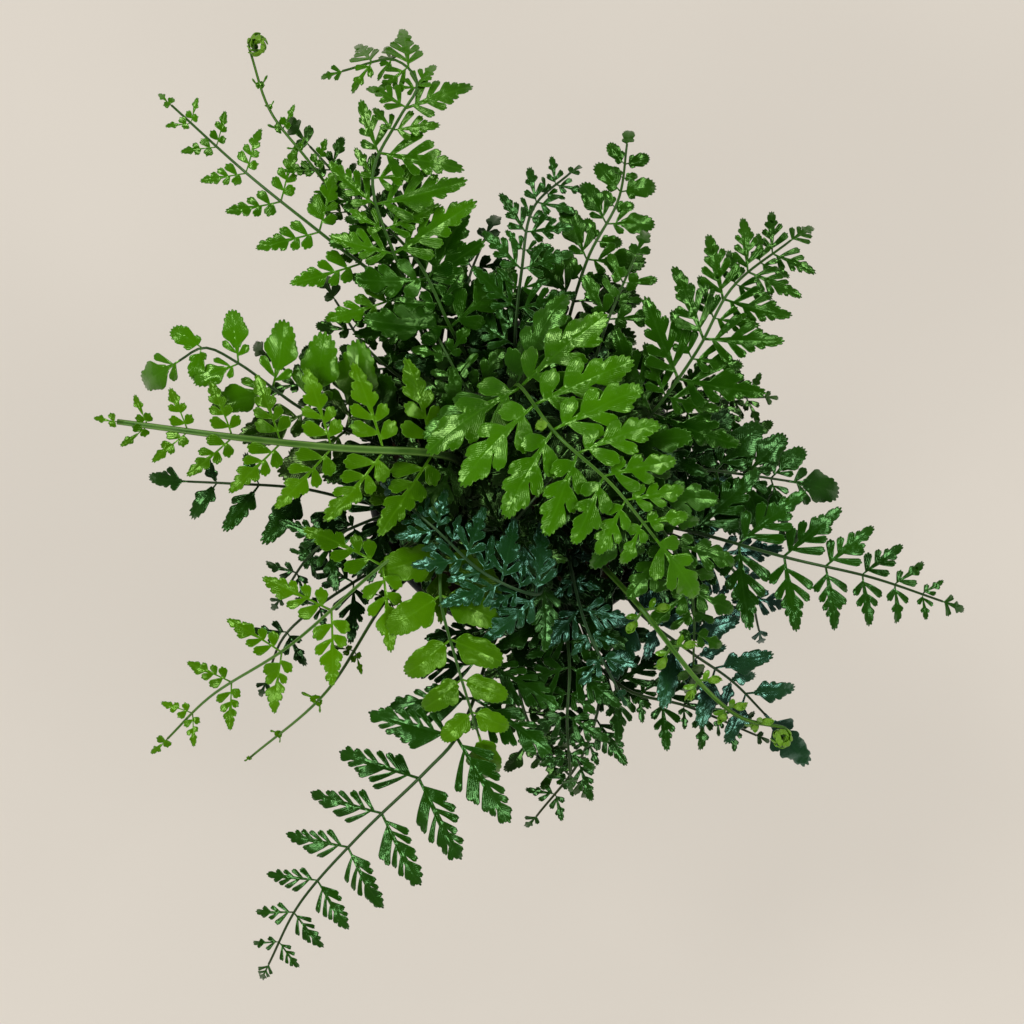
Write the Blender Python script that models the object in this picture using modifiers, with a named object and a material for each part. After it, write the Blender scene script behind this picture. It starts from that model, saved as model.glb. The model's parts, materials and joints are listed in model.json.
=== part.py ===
"""A potted austral gem fern: a nursery pot, its soil, a rhizome and a rosette of arching fronds.

Each frond is one thin solid: a stem that stands in its own hole in the soil, arches out and carries
leaflets cut into lobes. Lengths in the tables are millimetres, and the model is in metres. The origin
is the centre of the pot's underside, +Z is up, and +Y is the top of the picture, seen from above.
"""

import math
from collections import namedtuple

import bmesh
import bpy
from mathutils import Matrix, Vector
from mathutils.bvhtree import BVHTree
from mathutils.geometry import tessellate_polygon
from mathutils.kdtree import KDTree

MM = 0.001

# The pot is turned from one profile, with drain holes in a ring through its floor
POT_SIDES = 28
POT_HEIGHT = 135.0
POT_LIP_RADIUS = 76.0
POT_BAND_RADIUS = 74.6
POT_BAND_BOTTOM = 111.0
POT_SHOULDER_RADIUS = 71.0
POT_BASE_RADIUS = 53.2
POT_WALL = 1.8
POT_FLOOR = 2.5
POT_FOOT_HEIGHT = 3.0
POT_FOOT_INSET = 1.6
LIP_INNER = 2.6
LIP_OUTER = 0.9
LIP_DROP = 1.1
LIP_DEPTH = 2.6
SHOULDER_STEP = 1.0
DRAIN_HOLES = 5
DRAIN_RADIUS = 4.5
DRAIN_SIDES = 10
DRAIN_RING = 37.0

# The soil and what stands in it. The gap is what touching solids keep between them
GAP = 0.35
SOIL_TOP = 121.0
SOIL_EDGE = 116.0
SOIL_MOUND_RADIUS = 42.0
SOIL_MOUND_DROP = 1.0
RHIZOME_RADIUS = 9.5
RHIZOME_SINK = 5.0
RHIZOME_SQUASH = 0.8
RHIZOME_KNOBS = 3
RHIZOME_GIRTH = 0.86
RHIZOME_SWELL = 0.10
RHIZOME_SPIRAL = 600.0
CUT_OVER = 4.0
HOLE_DEPTH = 7.0
HOLE_RADIUS = 2.65
HOLE_SIDES = 4
STEM_RINGS = ((15.0, 9), (21.0, 12), (27.5, 19))

# Stems and blades. A stem rises from its hole by way of a middle point, and its pairs of leaflets
# stand closer together towards the tip
STEM_THICK = 2.0
STEM_WIDTH = 2.2
STEM_TIP_SHARE = 0.5
MIDDLE_OUT = 0.40
MIDDLE_UP = 0.55
CROWDING = 1.15
BLADE_THICK = 0.72
ROOT_WIDTH = 2.4
STEM_STATIONS = 4
ROUTE_STEP = 1.5
CLEARANCE = 0.45
STEM_CLEARANCE = 3.6
STEM_POINTS = 20000
COLLAR = 2.0
COIL_RADIUS = 4.6
COIL_TURNS = 1.25
COIL_SHRINK = 0.62
COIL_STATIONS = 9

# Leaflet forms: half width as a share of the length, cut depth as a share of the half width, how far
# a lobe's point is slanted forward, and how much the blade arches down
FORMS = {
    "broad": (0.25, 0.50, 0.45, 0.10),
    "cut": (0.31, 0.58, 0.60, 0.08),
    "feather": (0.25, 0.70, 0.75, 0.12),
    "bead": (0.24, 0.66, 0.20, 0.10),
    "oval": (0.31, 0.12, 0.20, 0.14),
    "ball": (0.42, 0.10, 0.10, -0.45),
}
SMALL_LEAFLET = 19.0
BLUNT_LOBES = 4
WEDGE = 0.73
TAPER_POWER = 1.25

# How leaflets stand on their stem: how much less they lean from it towards its tip in degrees, how
# fast the swing fades, and how far blades turn to the light
LEAN_LOSS = 16.0
SWING_FADE = 1.6
FACE_UP = 0.65
FLATTEN = 0.45

# How a leaflet may be lifted, in degrees, and shortened, to stay clear of what is already there. Near
# its root it may meet its own frond
LIFTS = (0, 8, -8, 16, -16, 26, -26, 36)
SCALES = (1.0, 0.82, 0.66, 0.5)
STEM_SWAYS = (5.0, 9.0, 14.0, 20.0, 27.0)
SWAY_DIRECTIONS = 8
COIL_TWIST = 65.0
OFF_ROOT = 0.10
OFF_STEM = 0.16

Skeleton = namedtuple("Skeleton", "places frames widths thick roots")
Seat = namedtuple("Seat", "at sign root heading up length lift")
Frond = namedtuple("Frond", "name form tone pairs longest lobes lifts swing coiled points")

# What a frond's leaflets are like: how much shorter the last is than the first, the leaflet at the tip
# as a share of the longest, how long those to the right and left are, how far they lean from the stem
# at the first pair in degrees, and how wide they are
Habit = namedtuple(
    "Habit",
    "taper tip right left lean_right lean_left width",
    defaults=(0.80, 0.33, 1.0, 1.0, 73.0, 59.0, 1.0),
)
BROAD_HABIT = Habit(tip=0.55)
HABITS = {
    "hero": Habit(taper=0.72, tip=0.76, lean_right=78.0, lean_left=72.0, width=0.80),
    "left_long": Habit(tip=0.28),
    "lime_oval": Habit(taper=0.50, tip=0.95),
    "ur_big": Habit(taper=0.62, tip=0.45),
    "top_curl": Habit(taper=0.60, right=1.1, left=0.75),
    "left_bright": Habit(tip=0.68, left=0.9),
    "bottom_feather": Habit(right=0.90, lean_right=64.0, lean_left=74.0),
    "top_mid_dark": Habit(taper=0.65),
    "right_long": Habit(taper=0.86, tip=0.40),
    "right_upper": Habit(taper=0.50, tip=0.95),
    "right_low": Habit(taper=0.35, tip=1.2),
    "left_dark": Habit(taper=0.62, tip=0.58, right=0.6, lean_left=66.0),
}

# Fronds from the top of the rosette down: leaflet form, colour, pairs of leaflets, longest leaflet,
# lobes cut on each side of a large one, lift of the first and last pair in degrees, swing of the
# first pair round the stem in degrees, whether the tip is coiled, and points along the leafy part
FRONDS = tuple(Frond(*row) for row in (
    ("hero", "broad", "bright", 7, 50, 4, (6, 4), 20, False,
     ((-2, 38, 278), (14, 16, 301), (37, -5, 305), (57, -29, 294))),
    ("hero_under", "broad", "mid", 6, 46, 1, (4, -2), 20, False,
     ((22, 24, 244), (38, 2, 276), (60, -24, 274), (74, -52, 258), (77, -86, 230))),
    ("left_long", "bead", "lime", 7, 44, 2, (8, 4), 0, False,
     ((-40, 9, 258), (-80, 11, 271), (-121, 15, 274), (-181, 23, 262))),
    ("lime_oval", "oval", "lime", 5, 25, 0, (6, 0), 0, False,
     ((-36, -36, 246), (-37, -56, 258), (-30, -84, 256), (-20, -119, 238))),
    ("fiddle_right", "ball", "bright", 5, 9, 0, (30, 30), 0, True,
     ((52, -60, 260), (79, -94, 258), (97, -109, 248), (116, -114, 238))),
    ("ur_big", "cut", "mid", 6, 42, 1, (10, 0), 0, False,
     ((56, 26, 262), (76, 54, 276), (91, 81, 270), (120, 105, 246))),
    ("top_curl", "cut", "bright", 6, 40, 2, (8, -38), 0, False,
     ((-58, 98, 246), (-67, 132, 264), (-55, 156, 272), (-47, 171, 270), (-57, 183, 262),
      (-82, 180, 248))),
    ("ul_mid", "broad", "mid", 5, 36, 1, (10, 2), 0, False,
     ((-33, 66, 230), (-48, 96, 241), (-71, 120, 240), (-98, 150, 224))),
    ("ul_fiddle", "bead", "bright", 5, 15, 0, (20, 20), 0, True,
     ((-66, 100, 216), (-97, 141, 236), (-114, 163, 244), (-123, 190, 246))),
    ("ul_long", "bead", "bright", 7, 33, 1, (10, 4), 0, False,
     ((-56, 80, 228), (-87, 105, 238), (-124, 135, 230), (-163, 171, 206))),
    ("left_bright", "oval", "bright", 5, 35, 0, (12, 10), 0, False,
     ((-80, 20, 226), (-101, 30, 240), (-127, 49, 254), (-142, 56, 256), (-155, 50, 249))),
    ("lower_left_lime", "bead", "lime", 6, 38, 1, (8, 4), 0, False,
     ((-42, -25, 232), (-66, -43, 250), (-105, -77, 250), (-141, -100, 238), (-163, -121, 222))),
    ("top_inner", "broad", "mid", 4, 34, 1, (8, 4), 10, False,
     ((26, 30, 246), (35, 62, 262), (50, 98, 246))),
    ("center_blue", "feather", "blue", 5, 33, 2, (10, 4), 0, False,
     ((6, -54, 248), (-18, -44, 262), (-40, -24, 260), (-60, -8, 246))),
    ("bottom_feather", "feather", "dark", 7, 46, 3, (4, -2), 0, False,
     ((-30, -118, 238), (-44, -134, 234), (-75, -165, 216), (-104, -199, 194), (-121, -232, 168))),
    ("center_over", "cut", "mid", 3, 31, 0, (6, 0), 0, False,
     ((-9, -27, 226), (3, -13, 243), (18, 4, 247), (30, 12, 240))),
    ("center_left", "cut", "mid", 3, 33, 0, (6, 0), 0, False,
     ((-14, -4, 210), (-36, 0, 228), (-62, 6, 220))),
    ("center_upper", "broad", "mid", 3, 33, 0, (6, 0), 0, False,
     ((-12, 22, 212), (-28, 42, 230), (-42, 68, 226))),
    ("top_mid_dark", "cut", "dark", 6, 26, 1, (10, 4), 0, False,
     ((-4, 58, 226), (-1, 92, 240), (4, 120, 232), (22, 139, 214))),
    ("top_right_thin", "oval", "mid", 6, 26, 0, (12, 6), 0, False,
     ((18, 60, 216), (29, 98, 228), (43, 125, 220), (48, 154, 200))),
    ("right_long", "cut", "dark", 7, 39, 2, (6, 0), 0, False,
     ((76, -26, 228), (120, -38, 232), (159, -47, 216), (196, -59, 192))),
    ("center_low_dark", "cut", "blue", 3, 33, 0, (8, 0), 0, False,
     ((20, -36, 212), (28, -68, 224), (44, -100, 208))),
    ("center_right", "cut", "dark", 3, 33, 0, (6, 0), 0, False,
     ((16, -12, 206), (42, -22, 220), (68, -32, 212))),
    ("right_upper", "cut", "dark", 4, 28, 1, (6, 0), 0, False,
     ((72, 3, 224), (100, 0, 224), (122, -3, 214))),
    ("ur_side", "cut", "mid", 4, 32, 1, (8, 0), 0, False,
     ((56, 24, 218), (86, 34, 222), (112, 36, 204))),
    ("right_low", "oval", "blue", 4, 27, 0, (6, 0), 0, False,
     ((52, -62, 206), (76, -81, 216), (96, -95, 208), (113, -112, 196))),
    ("low_center", "cut", "dark", 4, 36, 1, (6, 0), 0, False,
     ((18, -64, 206), (21, -88, 214), (20, -112, 208), (22, -142, 184))),
    ("left_dark", "oval", "dark", 5, 32, 0, (6, 0), 0, False,
     ((-57, -14, 196), (-104, -6, 210), (-135, -4, 212), (-156, -3, 205))),
    ("left_low_dark", "cut", "dark", 4, 32, 0, (6, 0), 0, False,
     ((-39, -12, 200), (-68, -20, 216), (-94, -33, 214), (-114, -58, 188))),
    ("ul_inner", "broad", "mid", 3, 35, 0, (8, 0), 0, False,
     ((-40, 34, 206), (-70, 56, 214), (-88, 82, 198))),
    ("up_inner", "broad", "dark", 3, 35, 0, (8, 0), 0, False,
     ((-20, 50, 206), (-26, 84, 214), (-18, 110, 200))),
    ("right_inner_upper", "broad", "mid", 3, 35, 0, (6, 0), 0, False,
     ((50, 8, 198), (90, 16, 204), (118, 10, 186))),
    ("lower_left_thin", "bead", "lime", 4, 11, 0, (10, 10), 0, False,
     ((-62, -56, 206), (-91, -100, 210), (-128, -132, 194))),
    ("right_mid", "cut", "blue", 3, 34, 0, (4, 0), 0, False,
     ((60, -23, 188), (88, -36, 196), (104, -52, 188), (112, -74, 166))),
    ("low_right_row", "cut", "dark", 5, 28, 0, (4, 0), 0, False,
     ((28, -80, 180), (48, -100, 188), (76, -108, 182), (112, -124, 158))),
    ("lower_left_dark", "cut", "dark", 3, 31, 0, (6, 0), 0, False,
     ((-44, -30, 176), (-81, -51, 190), (-111, -74, 186), (-122, -98, 170))),
    ("left_inner", "broad", "mid", 3, 34, 0, (6, 0), 0, False,
     ((-55, 28, 188), (-94, 38, 194), (-118, 54, 180))),
    ("bottom_dark", "cut", "dark", 5, 32, 0, (4, 0), 0, False,
     ((27, -68, 160), (36, -100, 178), (28, -132, 170), (6, -164, 146))),
    ("bottom_mid", "broad", "mid", 4, 35, 0, (4, 0), 0, False,
     ((1, -72, 172), (-2, -100, 180), (6, -124, 168), (26, -148, 140))),
    ("right_inner_lower", "broad", "dark", 3, 35, 0, (4, 0), 0, False,
     ((52, -4, 168), (90, -8, 176), (122, -24, 160))),
))

COLOURS = {
    "bright": (0.075, 0.240, 0.008),
    "lime": (0.110, 0.310, 0.012),
    "mid": (0.030, 0.130, 0.010),
    "dark": (0.010, 0.055, 0.010),
    "blue": (0.012, 0.070, 0.055),
}
POT_COLOUR = (0.016, 0.017, 0.018)
SOIL_COLOUR = (0.022, 0.014, 0.009)
RHIZOME_COLOUR = (0.060, 0.028, 0.012)


def clear_scene():
    for obj in list(bpy.data.objects):
        bpy.data.objects.remove(obj, do_unlink=True)


def new_collection(name):
    collection = bpy.data.collections.new(name)
    bpy.context.scene.collection.children.link(collection)
    return collection


def new_material(name, colour, roughness):
    material = bpy.data.materials.new(name)
    material.use_nodes = True
    shader = material.node_tree.nodes["Principled BSDF"]
    shader.inputs["Base Color"].default_value = (*colour, 1.0)
    shader.inputs["Roughness"].default_value = roughness
    shader.inputs["Metallic"].default_value = 0.0
    material.diffuse_color = (*colour, 1.0)
    return material


def add_object(name, mesh, collection, material=None):
    obj = bpy.data.objects.new(name, mesh)
    collection.objects.link(obj)
    if material:
        mesh.materials.append(material)
    return obj


def turned(name, profile, sides, collection, material):
    """A solid turned about Z from a profile that ends on the axis at both ends, made one mesh."""
    mesh = bpy.data.meshes.new(name + "_profile")
    edges = [(i, i + 1) for i in range(len(profile) - 1)]
    mesh.from_pydata([(r * MM, 0.0, z * MM) for r, z in profile], edges, [])
    guide = bpy.data.objects.new(name + "_profile", mesh)
    bpy.context.scene.collection.objects.link(guide)
    screw = guide.modifiers.new("Screw", "SCREW")
    screw.steps = sides
    screw.render_steps = sides
    screw.use_merge_vertices = True
    screw.merge_threshold = 0.00001
    graph = bpy.context.evaluated_depsgraph_get()
    solid = bpy.data.meshes.new_from_object(guide.evaluated_get(graph))
    solid.name = name
    bpy.data.objects.remove(guide, do_unlink=True)
    solid.shade_smooth()
    solid.set_sharp_from_angle(angle=math.radians(30))
    return add_object(name, solid, collection, material)


def add_peg(name, radius, sides, centre, bottom, top, cutters):
    """An upright cutter, with its top above the surface that it cuts."""
    bm = bmesh.new()
    middle = Matrix.Translation(Vector((*centre, (bottom + top) / 2)) * MM)
    bmesh.ops.create_cone(
        bm, cap_ends=True, segments=sides, radius1=radius * MM, radius2=radius * MM,
        depth=(top - bottom) * MM, matrix=middle,
    )
    mesh = bpy.data.meshes.new(name)
    bm.to_mesh(mesh)
    bm.free()
    peg = add_object(name, mesh, cutters)
    peg.hide_render = True
    peg.display_type = "WIRE"
    return peg


def cut_all(obj, cutters):
    boolean = obj.modifiers.new("Holes", "BOOLEAN")
    boolean.operation = "DIFFERENCE"
    boolean.operand_type = "COLLECTION"
    boolean.collection = cutters
    boolean.solver = "EXACT"


def make_pot(collection, drains):
    lip = POT_LIP_RADIUS
    profile = [
        (0.0, POT_FLOOR),
        (POT_BASE_RADIUS - POT_WALL, POT_FLOOR),
        (POT_SHOULDER_RADIUS - POT_WALL, POT_BAND_BOTTOM),
        (POT_BAND_RADIUS - POT_WALL, POT_HEIGHT - LIP_DROP),
        (lip - LIP_INNER, POT_HEIGHT),
        (lip - LIP_OUTER, POT_HEIGHT),
        (lip, POT_HEIGHT - LIP_DROP),
        (lip - LIP_OUTER / 2, POT_HEIGHT - LIP_DEPTH),
        (POT_BAND_RADIUS, POT_BAND_BOTTOM + SHOULDER_STEP),
        (POT_SHOULDER_RADIUS, POT_BAND_BOTTOM - SHOULDER_STEP),
        (POT_BASE_RADIUS, POT_FOOT_HEIGHT),
        (POT_BASE_RADIUS - POT_FOOT_INSET, 0.0),
        (0.0, 0.0),
    ]
    pot = turned("pot", profile, POT_SIDES, collection, new_material("pot_plastic", POT_COLOUR, 0.5))
    for index in range(DRAIN_HOLES):
        angle = math.tau * (index + 0.5) / DRAIN_HOLES
        centre = (DRAIN_RING * math.cos(angle), DRAIN_RING * math.sin(angle))
        add_peg(f"drain_{index}", DRAIN_RADIUS, DRAIN_SIDES, centre, -CUT_OVER, POT_FLOOR + CUT_OVER, drains)
    cut_all(pot, drains)
    return pot


def pot_inner_radius(z):
    share = (z - POT_FLOOR) / (POT_BAND_BOTTOM - POT_FLOOR)
    return POT_BASE_RADIUS - POT_WALL + share * (POT_SHOULDER_RADIUS - POT_BASE_RADIUS)


def make_soil(collection, holes, bases):
    bottom = POT_FLOOR + GAP
    profile = [
        (0.0, SOIL_TOP),
        (SOIL_MOUND_RADIUS, SOIL_TOP - SOIL_MOUND_DROP),
        (pot_inner_radius(POT_BAND_BOTTOM) - GAP, SOIL_EDGE),
        (pot_inner_radius(POT_BAND_BOTTOM) - GAP, POT_BAND_BOTTOM),
        (pot_inner_radius(bottom) - GAP, bottom),
        (0.0, bottom),
    ]
    soil = turned("soil", profile, POT_SIDES, collection, new_material("soil", SOIL_COLOUR, 0.95))
    top = SOIL_TOP + CUT_OVER
    for index, base in enumerate(bases):
        add_peg(f"stem_hole_{index}", HOLE_RADIUS, HOLE_SIDES, base, SOIL_TOP - HOLE_DEPTH, top, holes)
    add_peg("rhizome_hole", RHIZOME_RADIUS + GAP, 16, (0.0, 0.0), SOIL_TOP - RHIZOME_SINK - GAP, top, holes)
    cut_all(soil, holes)
    return soil


def make_rhizome(collection):
    """A knobbly dome whose lower side is flat and stands in the soil."""
    bm = bmesh.new()
    bmesh.ops.create_uvsphere(bm, u_segments=10, v_segments=7, radius=RHIZOME_RADIUS * MM)
    floor = -RHIZOME_SINK * MM
    for vert in bm.verts:
        angle = math.atan2(vert.co.y, vert.co.x)
        wave = math.cos(RHIZOME_KNOBS * angle + RHIZOME_SPIRAL * vert.co.z)
        swell = RHIZOME_GIRTH + RHIZOME_SWELL * wave
        vert.co.x *= swell
        vert.co.y *= swell
        vert.co.z = max(vert.co.z * RHIZOME_SQUASH, floor)
    mesh = bpy.data.meshes.new("rhizome")
    bmesh.ops.remove_doubles(bm, verts=bm.verts, dist=0.00001)
    bmesh.ops.recalc_face_normals(bm, faces=bm.faces)
    bm.to_mesh(mesh)
    bm.free()
    rhizome = add_object("rhizome", mesh, collection, new_material("rhizome", RHIZOME_COLOUR, 0.9))
    rhizome.location = (0.0, 0.0, SOIL_TOP * MM)
    return rhizome


def stem_bases():
    """Where each stem stands: high fronds on the inner rings, each ring in order of direction."""
    order = sorted(FRONDS, key=lambda frond: -frond.points[0][2])
    bases = {}
    start = 0
    for radius, count in STEM_RINGS:
        ring = order[start:start + count]
        start += count
        ring.sort(key=lambda frond: math.atan2(frond.points[0][1], frond.points[0][0]))
        step = math.tau / max(len(ring), 1)
        turn = Vector((0.0, 0.0))
        for k, frond in enumerate(ring):
            off = math.atan2(frond.points[0][1], frond.points[0][0]) - k * step
            turn += Vector((math.cos(off), math.sin(off)))
        offset = math.atan2(turn.y, turn.x)
        for k, frond in enumerate(ring):
            angle = offset + k * step
            bases[frond.name] = (radius * math.cos(angle), radius * math.sin(angle))
    return bases


def smooth_route(controls):
    """Points about ROUTE_STEP apart on a centripetal Catmull-Rom curve through the controls."""
    before = controls[0] * 2 - controls[1]
    after = controls[-1] * 2 - controls[-2]
    knots = [before, *controls, after]
    route = [controls[0].copy()]
    for a, b, c, d in zip(knots, knots[1:], knots[2:], knots[3:]):
        t1 = math.sqrt((b - a).length)
        t2 = t1 + math.sqrt((c - b).length)
        t3 = t2 + math.sqrt((d - c).length)
        count = max(2, round((c - b).length / ROUTE_STEP))
        for k in range(1, count + 1):
            t = t1 + (t2 - t1) * k / count
            ab = a.lerp(b, t / t1)
            bc = b.lerp(c, (t - t1) / (t2 - t1))
            cd = c.lerp(d, (t - t2) / (t3 - t2))
            abc = ab.lerp(bc, t / t2)
            bcd = bc.lerp(cd, (t - t1) / (t3 - t1))
            route.append(abc.lerp(bcd, (t - t1) / (t2 - t1)))
    return route


def stem_route(base, points, sway):
    """The whole stem, from the bottom of its hole to its tip."""
    first = Vector(points[0])
    foot = Vector((*base, SOIL_TOP - HOLE_DEPTH + GAP))
    collar = Vector((*base, SOIL_TOP + COLLAR))
    middle = Vector((
        base[0] + MIDDLE_OUT * (first.x - base[0]) + sway[0],
        base[1] + MIDDLE_OUT * (first.y - base[1]) + sway[1],
        SOIL_TOP + MIDDLE_UP * (first.z - SOIL_TOP),
    ))
    return smooth_route([foot, collar, middle] + [Vector(p) for p in points])


def lengths_along(route):
    total = [0.0]
    for a, b in zip(route, route[1:]):
        total.append(total[-1] + (b - a).length)
    return total


def point_at(route, along, s):
    s = min(max(s, 0.0), along[-1])
    k = 1
    while along[k] < s and k < len(along) - 1:
        k += 1
    share = (s - along[k - 1]) / (along[k] - along[k - 1])
    return route[k - 1].lerp(route[k], share)


def root_width(share):
    return ROOT_WIDTH * (1.0 - 0.4 * share)


def station_lengths(frond, route, along):
    """Lengths along the stem of its stations, and the station at which each pair of leaflets begins."""
    first = Vector(frond.points[0])
    leafy = along[min(range(len(route)), key=lambda k: (route[k] - first).length)]
    collar = HOLE_DEPTH + COLLAR
    stations = [0.0]
    for k in range(STEM_STATIONS):
        stations.append(collar + (leafy - collar) * k / STEM_STATIONS)
    span = along[-1] - leafy
    roots = []
    for k in range(frond.pairs):
        start = leafy + span * (1.0 - (1.0 - k / frond.pairs) ** CROWDING)
        roots.append(len(stations))
        stations += [start, start + root_width(k / frond.pairs)]
    stations.append(along[-1] - (0.0 if frond.coiled else 1.0))
    return stations, roots


def across_part(vector, tangent):
    return (vector - vector.dot(tangent) * tangent).normalized()


def frames_along(places, coiled):
    """Tangent, blade normal and side at each station, turned as little as the stem allows."""
    count = len(places)
    tangents = []
    for k in range(count):
        ahead = places[min(k + 1, count - 1)]
        behind = places[max(k - 1, 0)]
        tangents.append((ahead - behind).normalized())
    level = min(range(count // 3, count), key=lambda k: abs(tangents[k].z))
    normals = [None] * count
    normals[level] = across_part(Vector((0.0, 0.0, 1.0)), tangents[level])
    for k in range(level + 1, count):
        normals[k] = across_part(normals[k - 1], tangents[k])
    for k in range(level - 1, -1, -1):
        normals[k] = across_part(normals[k + 1], tangents[k])
    if coiled:
        for k in range(count // 2, count):
            twist = math.radians(COIL_TWIST) * (k - count // 2) / (count - count // 2)
            normals[k].rotate(Matrix.Rotation(twist, 3, tangents[k]))
    return [(t, n, t.cross(n)) for t, n in zip(tangents, normals)]


def coil(point, frame):
    """Points and frames of a coiled tip, turning towards the upper side of the blade."""
    tangent, normal, side = frame
    points = []
    frames = []
    place = point.copy()
    step = math.tau * COIL_TURNS / COIL_STATIONS
    for k in range(1, COIL_STATIONS + 1):
        radius = COIL_RADIUS * (1.0 - COIL_SHRINK * (k - 1) / COIL_STATIONS)
        turn = step * k
        heading = tangent * math.cos(turn - step / 2) + normal * math.sin(turn - step / 2)
        place = place + heading * (2.0 * radius * math.sin(step / 2))
        ahead = tangent * math.cos(turn) + normal * math.sin(turn)
        outward = normal * math.cos(turn) - tangent * math.sin(turn)
        points.append(place.copy())
        frames.append((ahead, outward, side))
    return points, frames


def make_skeleton(frond, base, sway):
    """A frond's stations: their places, frames, half widths and thickness shares, and its leaf roots."""
    route = stem_route(base, frond.points, sway)
    along = lengths_along(route)
    stations, roots = station_lengths(frond, route, along)
    places = [point_at(route, along, s) for s in stations]
    frames = frames_along(places, frond.coiled)
    shares = [s / along[-1] for s in stations]
    if frond.coiled:
        more_places, more_frames = coil(places[-1], frames[-1])
        places += more_places
        frames += more_frames
        shares += [1.0] * len(more_places)
    thick = [1.0 - (1.0 - STEM_TIP_SHARE) * share for share in shares]
    widths = [STEM_WIDTH / 2 * share for share in thick]
    return Skeleton(places, frames, widths, thick, roots)


def closely(places):
    """The same stem as points a little apart, so that two stems can be compared point by point."""
    points = []
    for a, b in zip(places, places[1:]):
        count = max(1, math.ceil((b - a).length / ROUTE_STEP))
        points += [a.lerp(b, k / count) for k in range(count)]
    return points + [places[-1]]


def clear_skeletons(bases):
    """Every frond's skeleton. A stem that would touch an earlier one sways at its middle."""
    sways = [(0.0, 0.0)]
    for radius in STEM_SWAYS:
        for k in range(SWAY_DIRECTIONS):
            angle = math.tau * k / SWAY_DIRECTIONS
            sways.append((radius * math.cos(angle), radius * math.sin(angle)))
    taken = KDTree(STEM_POINTS)
    filled = 0
    skeletons = {}
    for frond in FRONDS:
        best = None
        for sway in sways:
            skeleton = make_skeleton(frond, bases[frond.name], sway)
            points = closely(skeleton.places)
            gap = min(taken.find(p)[2] for p in points) if filled else STEM_CLEARANCE
            if best is None or gap > best[0]:
                best = (gap, skeleton, points)
            if gap >= STEM_CLEARANCE:
                break
        if best[0] < STEM_CLEARANCE:
            print(f"{frond.name}: its stem comes within {best[0]:.1f} mm of another")
        for point in best[2]:
            taken.insert(point, filled)
            filled += 1
        taken.balance()
        skeletons[frond.name] = best[1]
    return skeletons


def envelope(t):
    """How wide a leaflet is at this share of its length: widest a third of the way out."""
    return math.sin(math.pi * (0.10 + 0.88 * t) ** 0.85) ** 0.75


def habit_of(frond):
    return HABITS.get(frond.name, BROAD_HABIT if frond.form == "broad" else Habit())


def half_outline(frond, length):
    """Half of a leaflet's outline, in shares of its length, without its root and its tip."""
    half, depth, slant, _ = FORMS[frond.form]
    half *= habit_of(frond).width
    blunt = frond.lobes == BLUNT_LOBES
    lobes = 2 if blunt else frond.lobes
    if length < SMALL_LEAFLET:
        lobes = max(lobes - 1, 0)
    if lobes == 0:
        return [(0.38, min(half * 0.95, 0.38 * WEDGE)), (0.75, half * 0.78)]
    points = []
    spacing = 1.0 / (lobes + (1.0 if lobes > 1 else 1.5))
    for k in range(lobes):
        peak = (k + 0.50) * spacing
        notch = (k + 0.98) * spacing
        reach = half * envelope(peak)
        if blunt and k:
            points.append((peak - 0.04, reach * 0.88))
        along = min(peak + slant * reach, 0.97)
        points.append((along, min(reach, along * WEDGE)))
        reach = half * envelope(notch) * (1.0 - depth)
        points.append((notch + slant * reach, reach))
    if lobes == 1:
        points.append((0.76, half * 0.80))
    return points


def leaflet_points(frond, seat, length, lift, grow=0.0, start=0.0):
    """A leaflet's points in space, from one side of its root round the tip to the other.

    They come with the triangles that fill the outline, which is closed by two points at the start.
    """
    half = [(start, ROOT_WIDTH / 2 / length)]
    half += [(x, y) for x, y in half_outline(frond, length) if x > start]
    flat = half + [(1.0, 0.0)] + [(x, -y) for x, y in reversed(half)]
    arch = FORMS[frond.form][3]
    across = seat.up.cross(seat.heading).normalized()
    raised = math.tan(math.radians(lift))
    cosine = math.cos(math.radians(lift))
    placed = []
    for x, y in flat:
        x_long = x * length + (grow if x > 0.9 else 0.0)
        y_long = y * length + math.copysign(grow if y else 0.0, y)
        rise = raised * x_long - arch * x_long * x_long / length
        placed.append(seat.root + (seat.heading * x_long + seat.up * rise) * cosine + across * y_long)
    return placed, tessellate_polygon([[Vector((x, y, 0.0)) for x, y in flat]])


def thick_leaflet(frond, seat, length, lift, grow, start):
    """The closed outside of a leaflet with some room round it, as corners and triangles."""
    points, triangles = leaflet_points(frond, seat, length, lift, grow, start)
    normal = Vector((0.0, 0.0, 0.0))
    for a, b, c in triangles:
        normal += (points[b] - points[a]).cross(points[c] - points[a])
    offset = normal.normalized() * (BLADE_THICK / 2 + grow)
    count = len(points)
    corners = [p - offset for p in points] + points + [p + offset for p in points]
    faces = []
    for level in (0, count, 2 * count):
        faces += [(a + level, b + level, c + level) for a, b, c in triangles]
    for k in range(count):
        after = (k + 1) % count
        faces += [(k, after, after + 2 * count), (k, after + 2 * count, k + 2 * count)]
    return corners, faces


class Obstacles:
    """Triangles gathered in named groups, each with a tree and a box."""

    def __init__(self):
        self.groups = {}

    def add(self, name, corners, faces):
        old_corners, old_faces = self.groups.get(name, ([], [], None, None))[:2]
        first = len(old_corners)
        corners = old_corners + corners
        faces = old_faces + [tuple(i + first for i in face) for face in faces]
        tree = BVHTree.FromPolygons(corners, faces)
        self.groups[name] = (corners, faces, tree, box_of(corners))

    def blocks(self, corners, faces, names):
        low, high = box_of(corners)
        tree = BVHTree.FromPolygons(corners, faces)
        for name in names:
            if name not in self.groups:
                continue
            other, (their_low, their_high) = self.groups[name][2:]
            if any(low[k] > their_high[k] or high[k] < their_low[k] for k in range(3)):
                continue
            if tree.overlap(other):
                return True
        return False


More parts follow.
